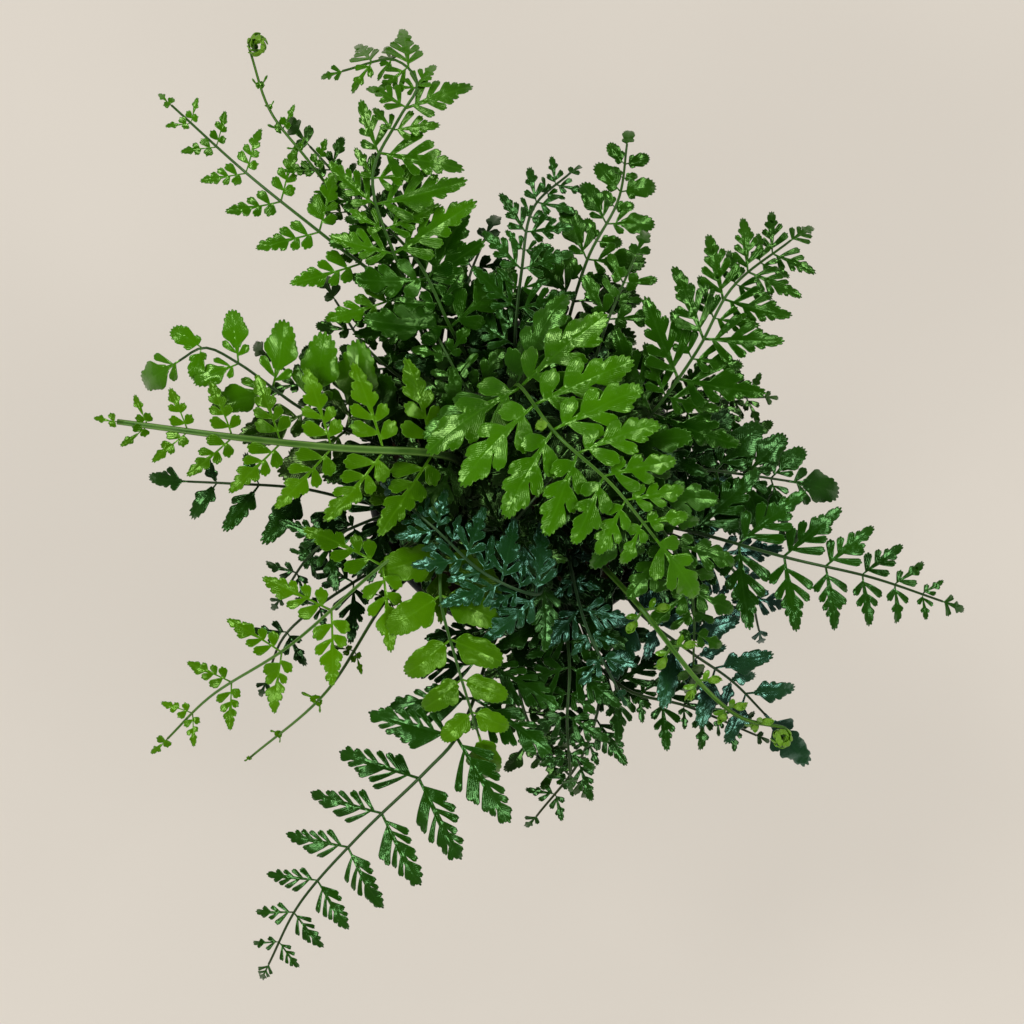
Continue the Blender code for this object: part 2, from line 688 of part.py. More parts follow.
def box_of(corners):
    low = [min(c[k] for c in corners) for k in range(3)]
    high = [max(c[k] for c in corners) for k in range(3)]
    return low, high


def stem_box(skeleton):
    """The closed outside of a stem, as corners and triangles."""
    corners = []
    faces = []
    for place, frame, width, share in zip(skeleton.places, skeleton.frames, skeleton.widths, skeleton.thick):
        out = frame[2] * width
        rise = frame[1] * (STEM_THICK * share / 2)
        corners += [place - out - rise, place + out - rise, place + out + rise, place - out + rise]
    for k in range(len(skeleton.places) - 1):
        for j in range(4):
            b = 4 * k + j
            c = 4 * k + (j + 1) % 4
            faces += [(b, c, c + 4), (b, c + 4, b + 4)]
    return corners, faces


def turned_up(heading, normal):
    """The upper side of a blade: between the stem's own and straight up, square to its heading."""
    return across_part(normal.lerp(Vector((0.0, 0.0, 1.0)), FACE_UP), heading)


def leaflet_seats(frond, skeleton):
    """Where each leaflet of a frond grows: its station and side, root, heading, upper side and size."""
    seats = []
    habit = habit_of(frond)
    for k, at in enumerate(skeleton.roots):
        share = k / frond.pairs
        longest = frond.longest * (1.0 - habit.taper * share ** TAPER_POWER)
        lift = frond.lifts[0] + (frond.lifts[1] - frond.lifts[0]) * share
        swing = math.radians(frond.swing) * max(0.0, 1.0 - SWING_FADE * share)
        ahead = (skeleton.places[at + 2] - skeleton.places[at + 1]).normalized()
        normal = across_part(skeleton.frames[at + 1][1], ahead)
        side = ahead.cross(normal)
        for sign in (1, -1):
            edge_a = skeleton.places[at] + skeleton.frames[at][2] * sign * skeleton.widths[at]
            edge_b = skeleton.places[at + 1] + skeleton.frames[at + 1][2] * sign * skeleton.widths[at + 1]
            out = side * sign * math.cos(swing) + normal * math.sin(swing)
            lean = (habit.lean_right if sign > 0 else habit.lean_left) - LEAN_LOSS * share
            angle = math.radians(lean)
            heading = ahead * math.cos(angle) + out * math.sin(angle)
            if frond.form != "ball":
                heading.z *= FLATTEN
            heading.normalize()
            up = turned_up(heading, normal)
            length = longest * (habit.right if sign > 0 else habit.left)
            seats.append(Seat(at, sign, (edge_a + edge_b) / 2, heading, up, length, lift))
    if not frond.coiled:
        tangent, normal, _ = skeleton.frames[-1]
        length = frond.longest * habit.tip
        at = len(skeleton.places) - 1
        seats.append(Seat(at, 0, skeleton.places[-1], tangent, turned_up(tangent, normal), length, 0.0))
    return seats


def seat_leaflets(frond, skeleton, obstacles):
    """Each leaflet in the first pose that is clear of every stem and leaflet placed before it."""
    own_stem = frond.name + "_stem"
    others = [key for key in obstacles.groups if key not in (frond.name, own_stem)]
    seated = []
    for seat in leaflet_seats(frond, skeleton):
        for scale, change in ((scale, change) for scale in SCALES for change in LIFTS):
            length = seat.length * scale
            lift = seat.lift + change
            whole = thick_leaflet(frond, seat, length, lift, CLEARANCE, 0.0)
            if obstacles.blocks(*whole, others):
                continue
            off_root = thick_leaflet(frond, seat, length, lift, CLEARANCE, OFF_ROOT)
            if obstacles.blocks(*off_root, [frond.name]):
                continue
            off_stem = thick_leaflet(frond, seat, length, lift, CLEARANCE, OFF_STEM)
            if obstacles.blocks(*off_stem, [own_stem]):
                continue
            obstacles.add(frond.name, *thick_leaflet(frond, seat, length, lift, 0.0, 0.0))
            seated.append((seat, *leaflet_points(frond, seat, length, lift)))
            break
    return seated


def frond_mesh(name, skeleton, seated):
    """The stem as a strip with its leaflets joined to its edges, and how thick each point is to be."""
    bm = bmesh.new()
    weights = []

    def add_vert(point, share):
        weights.append(share)
        return bm.verts.new(point * MM)

    left = []
    right = []
    for place, frame, width, share in zip(skeleton.places, skeleton.frames, skeleton.widths, skeleton.thick):
        left.append(add_vert(place + frame[2] * width, share))
        right.append(add_vert(place - frame[2] * width, share))
    for k in range(len(skeleton.places) - 1):
        bm.faces.new((left[k], right[k], right[k + 1]))
        bm.faces.new((left[k], right[k + 1], left[k + 1]))
    for seat, points, triangles in seated:
        blade = [add_vert(point, BLADE_THICK / STEM_THICK) for point in points[1:-1]]
        if seat.sign == 0:
            roots = (right[seat.at], left[seat.at])
        elif seat.sign > 0:
            roots = (left[seat.at + 1], left[seat.at])
        else:
            roots = (right[seat.at], right[seat.at + 1])
        ring = [roots[0], *blade, roots[1]]
        for a, b, c in triangles:
            bm.faces.new((ring[a], ring[b], ring[c]))
    bmesh.ops.recalc_face_normals(bm, faces=bm.faces)
    mesh = bpy.data.meshes.new(name)
    bm.to_mesh(mesh)
    bm.free()
    return mesh, weights


def make_frond(frond, skeleton, seated, collection, material):
    name = "frond_" + frond.name
    mesh, weights = frond_mesh(name, skeleton, seated)
    obj = add_object(name, mesh, collection, material)
    group = obj.vertex_groups.new(name="thickness")
    for index, weight in enumerate(weights):
        group.add([index], weight, "REPLACE")
    solidify = obj.modifiers.new("Thickness", "SOLIDIFY")
    solidify.thickness = STEM_THICK * MM
    solidify.offset = 0.0
    solidify.vertex_group = group.name
    return obj


def main():
    clear_scene()
    plant = new_collection("potted_austral_gem_fern")
    drains = new_collection("drain_cutters")
    holes = new_collection("stem_hole_cutters")
    bases = stem_bases()
    make_pot(plant, drains)
    make_soil(plant, holes, bases.values())
    make_rhizome(plant)
    materials = {tone: new_material("frond_" + tone, colour, 0.4) for tone, colour in COLOURS.items()}
    skeletons = clear_skeletons(bases)
    obstacles = Obstacles()
    for frond in FRONDS:
        obstacles.add(frond.name + "_stem", *stem_box(skeletons[frond.name]))
    for frond in FRONDS:
        seated = seat_leaflets(frond, skeletons[frond.name], obstacles)
        make_frond(frond, skeletons[frond.name], seated, plant, materials[frond.tone])
        wanted = 2 * frond.pairs + (0 if frond.coiled else 1)
        print(f"{frond.name}: {len(seated)} of {wanted} leaflets")


main()
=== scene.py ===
# %% [markdown]
# # A potted fern seen from straight above
#
# This lesson dresses a plain model of a potted fern. The plain model is loaded first and never changes:
# it says where the pot, the soil and every frond are. Each of its fronds is then replaced by a finer
# one in the same place, with lobed leaflets, veins, a pale rim and a grooved stem.

# %% Load the frame
import json
import math
import random
from collections import namedtuple

import bpy
import numpy as np
from mathutils import Matrix, Quaternion, Vector, noise
from mathutils.geometry import delaunay_2d_cdt
from mathutils.kdtree import KDTree

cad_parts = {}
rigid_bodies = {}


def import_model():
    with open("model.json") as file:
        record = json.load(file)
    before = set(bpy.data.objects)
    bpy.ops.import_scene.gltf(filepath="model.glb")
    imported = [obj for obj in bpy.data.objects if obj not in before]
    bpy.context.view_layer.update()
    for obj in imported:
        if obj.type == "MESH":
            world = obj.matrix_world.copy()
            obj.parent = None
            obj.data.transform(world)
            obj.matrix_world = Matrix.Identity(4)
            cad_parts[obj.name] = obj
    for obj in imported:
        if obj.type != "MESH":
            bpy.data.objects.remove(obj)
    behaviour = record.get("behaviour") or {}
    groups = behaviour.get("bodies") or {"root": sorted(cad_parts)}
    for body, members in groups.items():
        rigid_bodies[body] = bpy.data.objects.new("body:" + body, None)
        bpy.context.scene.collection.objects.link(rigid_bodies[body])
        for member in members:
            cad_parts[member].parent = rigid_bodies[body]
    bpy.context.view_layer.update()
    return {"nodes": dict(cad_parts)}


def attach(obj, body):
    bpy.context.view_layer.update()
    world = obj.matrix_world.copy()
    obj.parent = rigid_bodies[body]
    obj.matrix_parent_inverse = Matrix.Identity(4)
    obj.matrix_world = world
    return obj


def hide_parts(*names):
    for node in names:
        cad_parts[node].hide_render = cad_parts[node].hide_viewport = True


for leftover in list(bpy.data.objects):
    bpy.data.objects.remove(leftover, do_unlink=True)
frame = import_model()
MM = 0.001
UP = Vector((0.0, 0.0, 1.0))

# %% [markdown]
# ## Shader arithmetic
#
# Veins, rims and shades are sums and products of a few patterns. Written as nodes they are hard to read,
# so one small class wraps a socket and lets Python's own operators add the Math nodes. Every other node
# comes from one method, which takes the node's type, its settings and what goes into its sockets.

# %% A socket that does arithmetic
class Wire:
    def __init__(self, shader, socket):
        self.shader = shader
        self.socket = socket

    def math(self, operation, *others, clamp=False):
        settings = {"operation": operation, "use_clamp": clamp}
        return self.shader.node("ShaderNodeMath", settings, dict(enumerate((self, *others))))

    def __add__(self, other):
        return self.math("ADD", other)

    def __sub__(self, other):
        return self.math("SUBTRACT", other)

    def __rsub__(self, other):
        return self.math("MULTIPLY", -1.0).math("ADD", other)

    def __mul__(self, other):
        return self.math("MULTIPLY", other)

    def __pow__(self, other):
        return self.math("POWER", other)

    __radd__ = __add__
    __rmul__ = __mul__

    def clamped(self):
        return self.math("ADD", 0.0, clamp=True)


# %% A material and its nodes
class Shader:
    def __init__(self, name, **constants):
        self.material = bpy.data.materials.new(name)
        self.material.use_nodes = True
        self.nodes = self.material.node_tree.nodes
        self.links = self.material.node_tree.links
        self.finish = self.nodes["Principled BSDF"]
        for socket, value in constants.items():
            self.finish.inputs[socket.replace("_", " ")].default_value = value

    def node(self, kind, settings, inputs, out=0):
        made = self.nodes.new(kind)
        for key, value in settings.items():
            setattr(made, key, value)
        for key, value in inputs.items():
            if isinstance(value, Wire):
                self.links.new(value.socket, made.inputs[key])
            else:
                made.inputs[key].default_value = value
        return Wire(self, made.outputs[out])

    def feed(self, socket, wire):
        self.links.new(wire.socket, self.finish.inputs[socket])

    def mix(self, factor, a, b):
        colours = [(*c, 1.0) if isinstance(c, tuple) else c for c in (a, b)]
        return self.node("ShaderNodeMix", {"data_type": "RGBA"}, {0: factor, 6: colours[0], 7: colours[1]}, 2)

    def shade(self, colour, factor):
        """The colour, darker where the factor is under 1."""
        return self.node("ShaderNodeVectorMath", {"operation": "SCALE"}, {0: colour, "Scale": factor})

    def attribute(self, name):
        return self.node("ShaderNodeAttribute", {"attribute_name": name}, {}, "Fac")

    def place(self):
        return self.node("ShaderNodeTexCoord", {}, {}, "Object")

    def grain(self, where, scale, detail=2.0, roughness=0.5):
        inputs = {"Vector": where, "Scale": scale, "Detail": detail, "Roughness": roughness}
        return self.node("ShaderNodeTexNoise", {}, inputs)

    def bump(self, height, strength, distance):
        inputs = {"Height": height, "Strength": strength, "Distance": distance}
        self.feed("Normal", self.node("ShaderNodeBump", {}, inputs, "Normal"))


def grainy(name, grain, dark, light, rough, relief, **constants):
    """A material whose colour, roughness and relief follow one grain."""
    shader = Shader(name, **constants)
    spots = shader.grain(shader.place(), *grain)
    shader.feed("Base Color", shader.mix(spots, dark, light))
    shader.feed("Roughness", spots * 0.2 + rough)
    shader.bump(spots, *relief)
    return shader.material


print("shader helpers are ready")

# %% [markdown]
# ## The fronds of this plant
#
# The plain model grows its fronds from one table: the form of the leaflets, the colour, how many pairs,
# the longest leaflet, and points along the leafy part in millimetres. The finer fronds have to stand in
# the same places, so the same table and the same growing rules are repeated here.

# %% Sizes in millimetres and rules that the plain model grows by
SOIL_TOP = 121.0
HOLE_DEPTH = 7.0
STEM_RINGS = ((15.0, 9), (21.0, 12), (27.5, 19))
STEM_WIDTH = 2.2
STEM_THICK = 2.0
BLADE_THICK = 0.72
ROOT_WIDTH = 2.4
THINNING = 0.5
FOOT = 9.0
SCALES = (1.0, 0.82, 0.66, 0.5)
LIFTS = (0, 8, -8, 16, -16, 26, -26, 36)
STEM_SWAYS = (5.0, 9.0, 14.0, 20.0, 27.0)
SWAY_DIRECTIONS = 8
ARCHES = {"broad": 0.10, "cut": 0.08, "feather": 0.12, "bead": 0.10, "oval": 0.14, "ball": -0.45}
Frond = namedtuple("Frond", "name form tone pairs longest lifts points swing coiled", defaults=(0, False))
print(sum(count for _, count in STEM_RINGS), "stems stand in", len(STEM_RINGS), "rings")

# %% [markdown]
# Some fronds have habits of their own: how much shorter the last pair is than the first, the leaflet at
# the tip as a share of the longest, how long those to the right and left are, and how far they lean.

# %% The habits of fronds
Habit = namedtuple("Habit", "taper tip right left lean_right lean_left",
                   defaults=(0.80, 0.33, 1.0, 1.0, 73.0, 59.0))
BROAD_HABIT = Habit(tip=0.55)
HABITS = {
    "hero": Habit(taper=0.72, tip=0.76, lean_right=78.0, lean_left=72.0),
    "left_long": Habit(tip=0.28),
    "lime_oval": Habit(taper=0.50, tip=0.95),
    "ur_big": Habit(taper=0.62, tip=0.45),
    "top_curl": Habit(taper=0.60, right=1.1, left=0.75),
    "left_bright": Habit(tip=0.68, left=0.9),
    "bottom_feather": Habit(right=0.90, lean_right=64.0, lean_left=74.0),
    "top_mid_dark": Habit(taper=0.65),
    "right_long": Habit(taper=0.86, tip=0.40),
    "right_upper": Habit(taper=0.50, tip=0.95),
    "right_low": Habit(taper=0.35, tip=1.2),
    "left_dark": Habit(taper=0.62, tip=0.58, right=0.6, lean_left=66.0),
}


def habit_of(frond):
    return HABITS.get(frond.name, BROAD_HABIT if frond.form == "broad" else Habit())


print(len(HABITS), "fronds have habits of their own")

# %% The table of fronds, from the top of the rosette down
FRONDS = (
    Frond("hero", "broad", "bright", 7, 50, (6, 4),
          ((-2, 38, 278), (14, 16, 301), (37, -5, 305), (57, -29, 294)), swing=20),
    Frond("hero_under", "broad", "mid", 6, 46, (4, -2),
          ((22, 24, 244), (38, 2, 276), (60, -24, 274), (74, -52, 258), (77, -86, 230)), swing=20),
    Frond("left_long", "bead", "lime", 7, 44, (8, 4),
          ((-40, 9, 258), (-80, 11, 271), (-121, 15, 274), (-181, 23, 262))),
    Frond("lime_oval", "oval", "lime", 5, 25, (6, 0),
          ((-36, -36, 246), (-37, -56, 258), (-30, -84, 256), (-20, -119, 238))),
    Frond("fiddle_right", "ball", "bright", 5, 9, (30, 30),
          ((52, -60, 260), (79, -94, 258), (97, -109, 248), (116, -114, 238)), coiled=True),
    Frond("ur_big", "cut", "mid", 6, 42, (10, 0),
          ((56, 26, 262), (76, 54, 276), (91, 81, 270), (120, 105, 246))),
    Frond("top_curl", "cut", "bright", 6, 40, (8, -38),
          ((-58, 98, 246), (-67, 132, 264), (-55, 156, 272), (-47, 171, 270), (-57, 183, 262),
           (-82, 180, 248))),
    Frond("ul_mid", "broad", "mid", 5, 36, (10, 2),
          ((-33, 66, 230), (-48, 96, 241), (-71, 120, 240), (-98, 150, 224))),
    Frond("ul_fiddle", "bead", "bright", 5, 15, (20, 20),
          ((-66, 100, 216), (-97, 141, 236), (-114, 163, 244), (-123, 190, 246)), coiled=True),
    Frond("ul_long", "bead", "bright", 7, 33, (10, 4),
          ((-56, 80, 228), (-87, 105, 238), (-124, 135, 230), (-163, 171, 206))),
    Frond("left_bright", "oval", "bright", 5, 35, (12, 10),
          ((-80, 20, 226), (-101, 30, 240), (-127, 49, 254), (-142, 56, 256), (-155, 50, 249))),
    Frond("lower_left_lime", "bead", "lime", 6, 38, (8, 4),
          ((-42, -25, 232), (-66, -43, 250), (-105, -77, 250), (-141, -100, 238), (-163, -121, 222))),
    Frond("top_inner", "broad", "mid", 4, 34, (8, 4),
          ((26, 30, 246), (35, 62, 262), (50, 98, 246)), swing=10),
    Frond("center_blue", "feather", "blue", 5, 33, (10, 4),
          ((6, -54, 248), (-18, -44, 262), (-40, -24, 260), (-60, -8, 246))),
    Frond("bottom_feather", "feather", "dark", 7, 46, (4, -2),
          ((-30, -118, 238), (-44, -134, 234), (-75, -165, 216), (-104, -199, 194), (-121, -232, 168))),
    Frond("center_over", "cut", "mid", 3, 31, (6, 0),
          ((-9, -27, 226), (3, -13, 243), (18, 4, 247), (30, 12, 240))),
    Frond("center_left", "cut", "mid", 3, 33, (6, 0),
          ((-14, -4, 210), (-36, 0, 228), (-62, 6, 220))),
    Frond("center_upper", "broad", "mid", 3, 33, (6, 0),
          ((-12, 22, 212), (-28, 42, 230), (-42, 68, 226))),
    Frond("top_mid_dark", "cut", "dark", 6, 26, (10, 4),
          ((-4, 58, 226), (-1, 92, 240), (4, 120, 232), (22, 139, 214))),
    Frond("top_right_thin", "oval", "mid", 6, 26, (12, 6),
          ((18, 60, 216), (29, 98, 228), (43, 125, 220), (48, 154, 200))),
    Frond("right_long", "cut", "dark", 7, 39, (6, 0),
          ((76, -26, 228), (120, -38, 232), (159, -47, 216), (196, -59, 192))),
    Frond("center_low_dark", "cut", "blue", 3, 33, (8, 0),
          ((20, -36, 212), (28, -68, 224), (44, -100, 208))),
    Frond("center_right", "cut", "dark", 3, 33, (6, 0),
          ((16, -12, 206), (42, -22, 220), (68, -32, 212))),
    Frond("right_upper", "cut", "dark", 4, 28, (6, 0),
          ((72, 3, 224), (100, 0, 224), (122, -3, 214))),
    Frond("ur_side", "cut", "mid", 4, 32, (8, 0),
          ((56, 24, 218), (86, 34, 222), (112, 36, 204))),
    Frond("right_low", "oval", "blue", 4, 27, (6, 0),
          ((52, -62, 206), (76, -81, 216), (96, -95, 208), (113, -112, 196))),
    Frond("low_center", "cut", "dark", 4, 36, (6, 0),
          ((18, -64, 206), (21, -88, 214), (20, -112, 208), (22, -142, 184))),
    Frond("left_dark", "oval", "dark", 5, 32, (6, 0),
          ((-57, -14, 196), (-104, -6, 210), (-135, -4, 212), (-156, -3, 205))),
    Frond("left_low_dark", "cut", "dark", 4, 32, (6, 0),
          ((-39, -12, 200), (-68, -20, 216), (-94, -33, 214), (-114, -58, 188))),
    Frond("ul_inner", "broad", "mid", 3, 35, (8, 0),
          ((-40, 34, 206), (-70, 56, 214), (-88, 82, 198))),
    Frond("up_inner", "broad", "dark", 3, 35, (8, 0),
          ((-20, 50, 206), (-26, 84, 214), (-18, 110, 200))),
    Frond("right_inner_upper", "broad", "mid", 3, 35, (6, 0),
          ((50, 8, 198), (90, 16, 204), (118, 10, 186))),
    Frond("lower_left_thin", "bead", "lime", 4, 11, (10, 10),
          ((-62, -56, 206), (-91, -100, 210), (-128, -132, 194))),
    Frond("right_mid", "cut", "blue", 3, 34, (4, 0),
          ((60, -23, 188), (88, -36, 196), (104, -52, 188), (112, -74, 166))),
    Frond("low_right_row", "cut", "dark", 5, 28, (4, 0),
          ((28, -80, 180), (48, -100, 188), (76, -108, 182), (112, -124, 158))),
    Frond("lower_left_dark", "cut", "dark", 3, 31, (6, 0),
          ((-44, -30, 176), (-81, -51, 190), (-111, -74, 186), (-122, -98, 170))),
    Frond("left_inner", "broad", "mid", 3, 34, (6, 0),
          ((-55, 28, 188), (-94, 38, 194), (-118, 54, 180))),
    Frond("bottom_dark", "cut", "dark", 5, 32, (4, 0),
          ((27, -68, 160), (36, -100, 178), (28, -132, 170), (6, -164, 146))),
    Frond("bottom_mid", "broad", "mid", 4, 35, (4, 0),
          ((1, -72, 172), (-2, -100, 180), (6, -124, 168), (26, -148, 140))),
    Frond("right_inner_lower", "broad", "dark", 3, 35, (4, 0),
          ((52, -4, 168), (90, -8, 176), (122, -24, 160))),
)
print(len(FRONDS), "fronds")


# %% [markdown]
# ## The way of a stem
#
# A stem leaves its own hole in the soil, goes through one middle point and then through the points of
# its leafy part. A centripetal Catmull-Rom curve passes through all of them without loops.

# %% Where the stems stand
def around(radius, angle):
    return radius * math.cos(angle), radius * math.sin(angle)


def stem_bases():
    order = sorted(FRONDS, key=lambda frond: -frond.points[0][2])
    bases = {}
    start = 0
    for radius, count in STEM_RINGS:
        ring = order[start:start + count]
        start += count
        ring.sort(key=lambda frond: math.atan2(frond.points[0][1], frond.points[0][0]))
        step = math.tau / max(len(ring), 1)
        turn = Vector((0.0, 0.0))
        for k, frond in enumerate(ring):
            off = math.atan2(frond.points[0][1], frond.points[0][0]) - k * step
            turn += Vector(around(1.0, off))
        offset = math.atan2(turn.y, turn.x)
        for k, frond in enumerate(ring):
            bases[frond.name] = around(radius, offset + k * step)
    return bases


# %% The curve of a stem
ROUTE_STEP = 1.5
HOLE_GAP = 0.35
COLLAR = 2.0
MIDDLE_OUT = 0.40
MIDDLE_UP = 0.55


def smooth_route(controls):
    knots = [controls[0] * 2 - controls[1], *controls, controls[-1] * 2 - controls[-2]]
    route = [controls[0].copy()]
    for a, b, c, d in zip(knots, knots[1:], knots[2:], knots[3:]):
        t1 = math.sqrt((b - a).length)
        t2 = t1 + math.sqrt((c - b).length)
        t3 = t2 + math.sqrt((d - c).length)
        count = max(2, round((c - b).length / ROUTE_STEP))
        for k in range(1, count + 1):
            t = t1 + (t2 - t1) * k / count
            ab, bc, cd = a.lerp(b, t / t1), b.lerp(c, (t - t1) / (t2 - t1)), c.lerp(d, (t - t2) / (t3 - t2))
            route.append(ab.lerp(bc, t / t2).lerp(bc.lerp(cd, (t - t1) / (t3 - t1)), (t - t1) / (t2 - t1)))
    return route


def stem_route(base, points, sway):
    first = Vector(points[0])
    foot = Vector((*base, SOIL_TOP - HOLE_DEPTH + HOLE_GAP))
    collar = Vector((*base, SOIL_TOP + COLLAR))
    middle = Vector((
        base[0] + MIDDLE_OUT * (first.x - base[0]) + sway[0],
        base[1] + MIDDLE_OUT * (first.y - base[1]) + sway[1],
        SOIL_TOP + MIDDLE_UP * (first.z - SOIL_TOP),
    ))
    return smooth_route([foot, collar, middle] + [Vector(p) for p in points])


def lengths_along(route):
    total = [0.0]
    for a, b in zip(route, route[1:]):
        total.append(total[-1] + (b - a).length)
    return total


def point_at(route, along, s):
    s = min(max(s, 0.0), along[-1])
    k = min(int(np.searchsorted(along, s)), len(along) - 1)
    k = max(k, 1)
    return route[k - 1].lerp(route[k], (s - along[k - 1]) / (along[k] - along[k - 1]))


def across_part(vector, tangent):
    return (vector - vector.dot(tangent) * tangent).normalized()


print("stems follow smooth curves")

# %% [markdown]
# ## Stations along a stem
#
# A pair of leaflets takes two stations, one at each end of its root. Each station has a frame of three
# directions: along the stem, up out of the blade, and to the side. The frame turns as little as it can.

# %% The stations and their frames
Stem = namedtuple("Stem", "route along leafy places frames shares roots")
CROWDING = 1.15
STEM_STATIONS = 4
COIL_TWIST = 65.0


def root_width(share):
    return ROOT_WIDTH * (1.0 - 0.4 * share)


def thinned_by(share):
    """How thick a stem still is, as a share of its thickness at the foot."""
    return 1.0 - THINNING * share


def pair_start(frond, leafy, end, k):
    return leafy + (end - leafy) * (1.0 - (1.0 - k / frond.pairs) ** CROWDING)


def frames_along(places, coiled):
    count = len(places)
    tangents = [(places[min(k + 1, count - 1)] - places[max(k - 1, 0)]).normalized() for k in range(count)]
    level = min(range(count // 3, count), key=lambda k: abs(tangents[k].z))
    normals = [None] * count
    normals[level] = across_part(UP, tangents[level])
    for k in range(level + 1, count):
        normals[k] = across_part(normals[k - 1], tangents[k])
    for k in range(level - 1, -1, -1):
        normals[k] = across_part(normals[k + 1], tangents[k])
    if coiled:
        for k in range(count // 2, count):
            twist = math.radians(COIL_TWIST) * (k - count // 2) / (count - count // 2)
            normals[k].rotate(Matrix.Rotation(twist, 3, tangents[k]))
    return [(t, n, t.cross(n)) for t, n in zip(tangents, normals)]


def make_stem(frond, base, sway):
    route = stem_route(base, frond.points, sway)
    along = lengths_along(route)
    first = Vector(frond.points[0])
    leafy = along[min(range(len(route)), key=lambda k: (route[k] - first).length)]
    stations = [0.0] + [FOOT + (leafy - FOOT) * k / STEM_STATIONS for k in range(STEM_STATIONS)]
    roots = []
    for k in range(frond.pairs):
        start = pair_start(frond, leafy, along[-1], k)
        roots.append(len(stations))
        stations += [start, start + root_width(k / frond.pairs)]
    stations.append(along[-1] - (0.0 if frond.coiled else 1.0))
    places = [point_at(route, along, s) for s in stations]
    shares = [s / along[-1] for s in stations]
    return Stem(route, along, leafy, places, frames_along(places, frond.coiled), shares, roots)


# %% [markdown]
# The plain model lets a stem sway aside where it would touch another. Which way it swayed is read from
# its mesh: of all the sways that the rule allows, the right one is where the mesh has its points.

# %% Find each stem in the plain model
def nearby(node):
    mesh = node.data
    tree = KDTree(len(mesh.vertices))
    for k, vert in enumerate(mesh.vertices):
        tree.insert(node.matrix_world @ vert.co / MM, k)
    tree.balance()
    return tree


def edge_misses(stem, tree):
    total = 0.0
    for k in (2, 3, 4):
        thick = thinned_by(stem.shares[k])
        for sign in (1, -1):
            edge = stem.places[k] + stem.frames[k][2] * (sign * STEM_WIDTH / 2 * thick)
            total += abs(tree.find(edge)[2] - STEM_THICK / 2 * thick)
    return total / 6


GOOD_FIT = 0.15
sways = [(0.0, 0.0)]
sways += [around(r, a * math.tau / SWAY_DIRECTIONS) for r in STEM_SWAYS for a in range(SWAY_DIRECTIONS)]
bases = stem_bases()
trees = {frond.name: nearby(frame["nodes"]["frond_" + frond.name]) for frond in FRONDS}
stems = {}
worst = 0.0
for frond in FRONDS:
    tries = []
    for sway in sways:
        stem = make_stem(frond, bases[frond.name], sway)
        tries.append((edge_misses(stem, trees[frond.name]), len(tries), stem))
        if tries[-1][0] < GOOD_FIT:
            break
    miss, _, stems[frond.name] = min(tries)
    worst = max(worst, miss)
print(f"stems found, the worst {worst:.2f} mm off")

# %% [markdown]
# ## Where each leaflet sits
#
# Leaflets lean from the stem towards its tip, and their blades turn up to the light. The plain model
# may have lifted or shortened a leaflet to keep it clear, and the tip of its blade in the mesh shows how.

# %% Seats along a stem
Seat = namedtuple("Seat", "sign share root heading up ahead length lift")
FACE_UP = 0.65
SWING_FADE = 1.6
LEAN_LOSS = 16.0
FLATTEN = 0.45
TAPER_POWER = 1.25


def turned_up(heading, normal):
    return across_part(normal.lerp(UP, FACE_UP), heading)


def seat_pair(frond, share, here, here_frame, then, then_frame, after, thick):
    """Both leaflets of a pair whose root lies between two stations."""
    seats = []
    habit = habit_of(frond)
    swing = math.radians(frond.swing) * max(0.0, 1.0 - SWING_FADE * share)
    ahead = (after - then).normalized()
    normal = across_part(then_frame[1], ahead)
    side = ahead.cross(normal)
    for sign in (1, -1):
        half = sign * STEM_WIDTH / 2 * thick
        root = (here + here_frame[2] * half + then + then_frame[2] * half) / 2
        out = side * sign * math.cos(swing) + normal * math.sin(swing)
        angle = math.radians((habit.lean_right if sign > 0 else habit.lean_left) - LEAN_LOSS * share)
        heading = ahead * math.cos(angle) + out * math.sin(angle)
        if frond.form != "ball":
            heading.z *= FLATTEN
        heading.normalize()
        longer = habit.right if sign > 0 else habit.left
        length = frond.longest * (1.0 - habit.taper * share ** TAPER_POWER) * longer
        lift = frond.lifts[0] + (frond.lifts[1] - frond.lifts[0]) * share
        seats.append(Seat(sign, share, root, heading, turned_up(heading, normal), ahead, length, lift))
    return seats


def leaflet_seats(frond, stem):
    seats = []
    for k, at in enumerate(stem.roots):
        thick = thinned_by(stem.shares[at])
        seats += seat_pair(frond, k / frond.pairs, stem.places[at], stem.frames[at], stem.places[at + 1],
                           stem.frames[at + 1], stem.places[at + 2], thick)
    if not frond.coiled:
        tangent, normal, side = stem.frames[-1]
        length = frond.longest * habit_of(frond).tip
        seats.append(Seat(0, 1.0, stem.places[-1], tangent, turned_up(tangent, normal), side, length, 0.0))
    return seats


# %% Read each leaflet's pose from the plain model
LEFT_OUT = 1.0


def tip_of(frond, seat, length, lift):
    rise = math.tan(math.radians(lift)) * length - ARCHES[frond.form] * length
    return seat.root + (seat.heading * length + seat.up * rise) * math.cos(math.radians(lift))


def posed(frond, seat, tree):
    """The seat with the length and lift that the plain model gave it, and how far off its tip is."""
    tries = []
    for scale in SCALES:
        for change in LIFTS:
            length, lift = seat.length * scale, seat.lift + change
            miss = abs(tree.find(tip_of(frond, seat, length, lift))[2] - BLADE_THICK / 2)
            tries.append((round(miss, 2), len(tries), length, lift))
    miss, _, length, lift = min(tries)
    if miss > LEFT_OUT:
        return seat._replace(length=seat.length * SCALES[2]), miss
    return seat._replace(length=length, lift=lift), miss


seats = {}
misses = []
for frond in FRONDS:
    found = [posed(frond, seat, trees[frond.name]) for seat in leaflet_seats(frond, stems[frond.name])]
    seats[frond.name] = [seat for seat, _ in found]
    misses += [miss for _, miss in found]
print(len(misses), "leaflets,", sum(miss > LEFT_OUT for miss in misses), "of them not in the plain model")

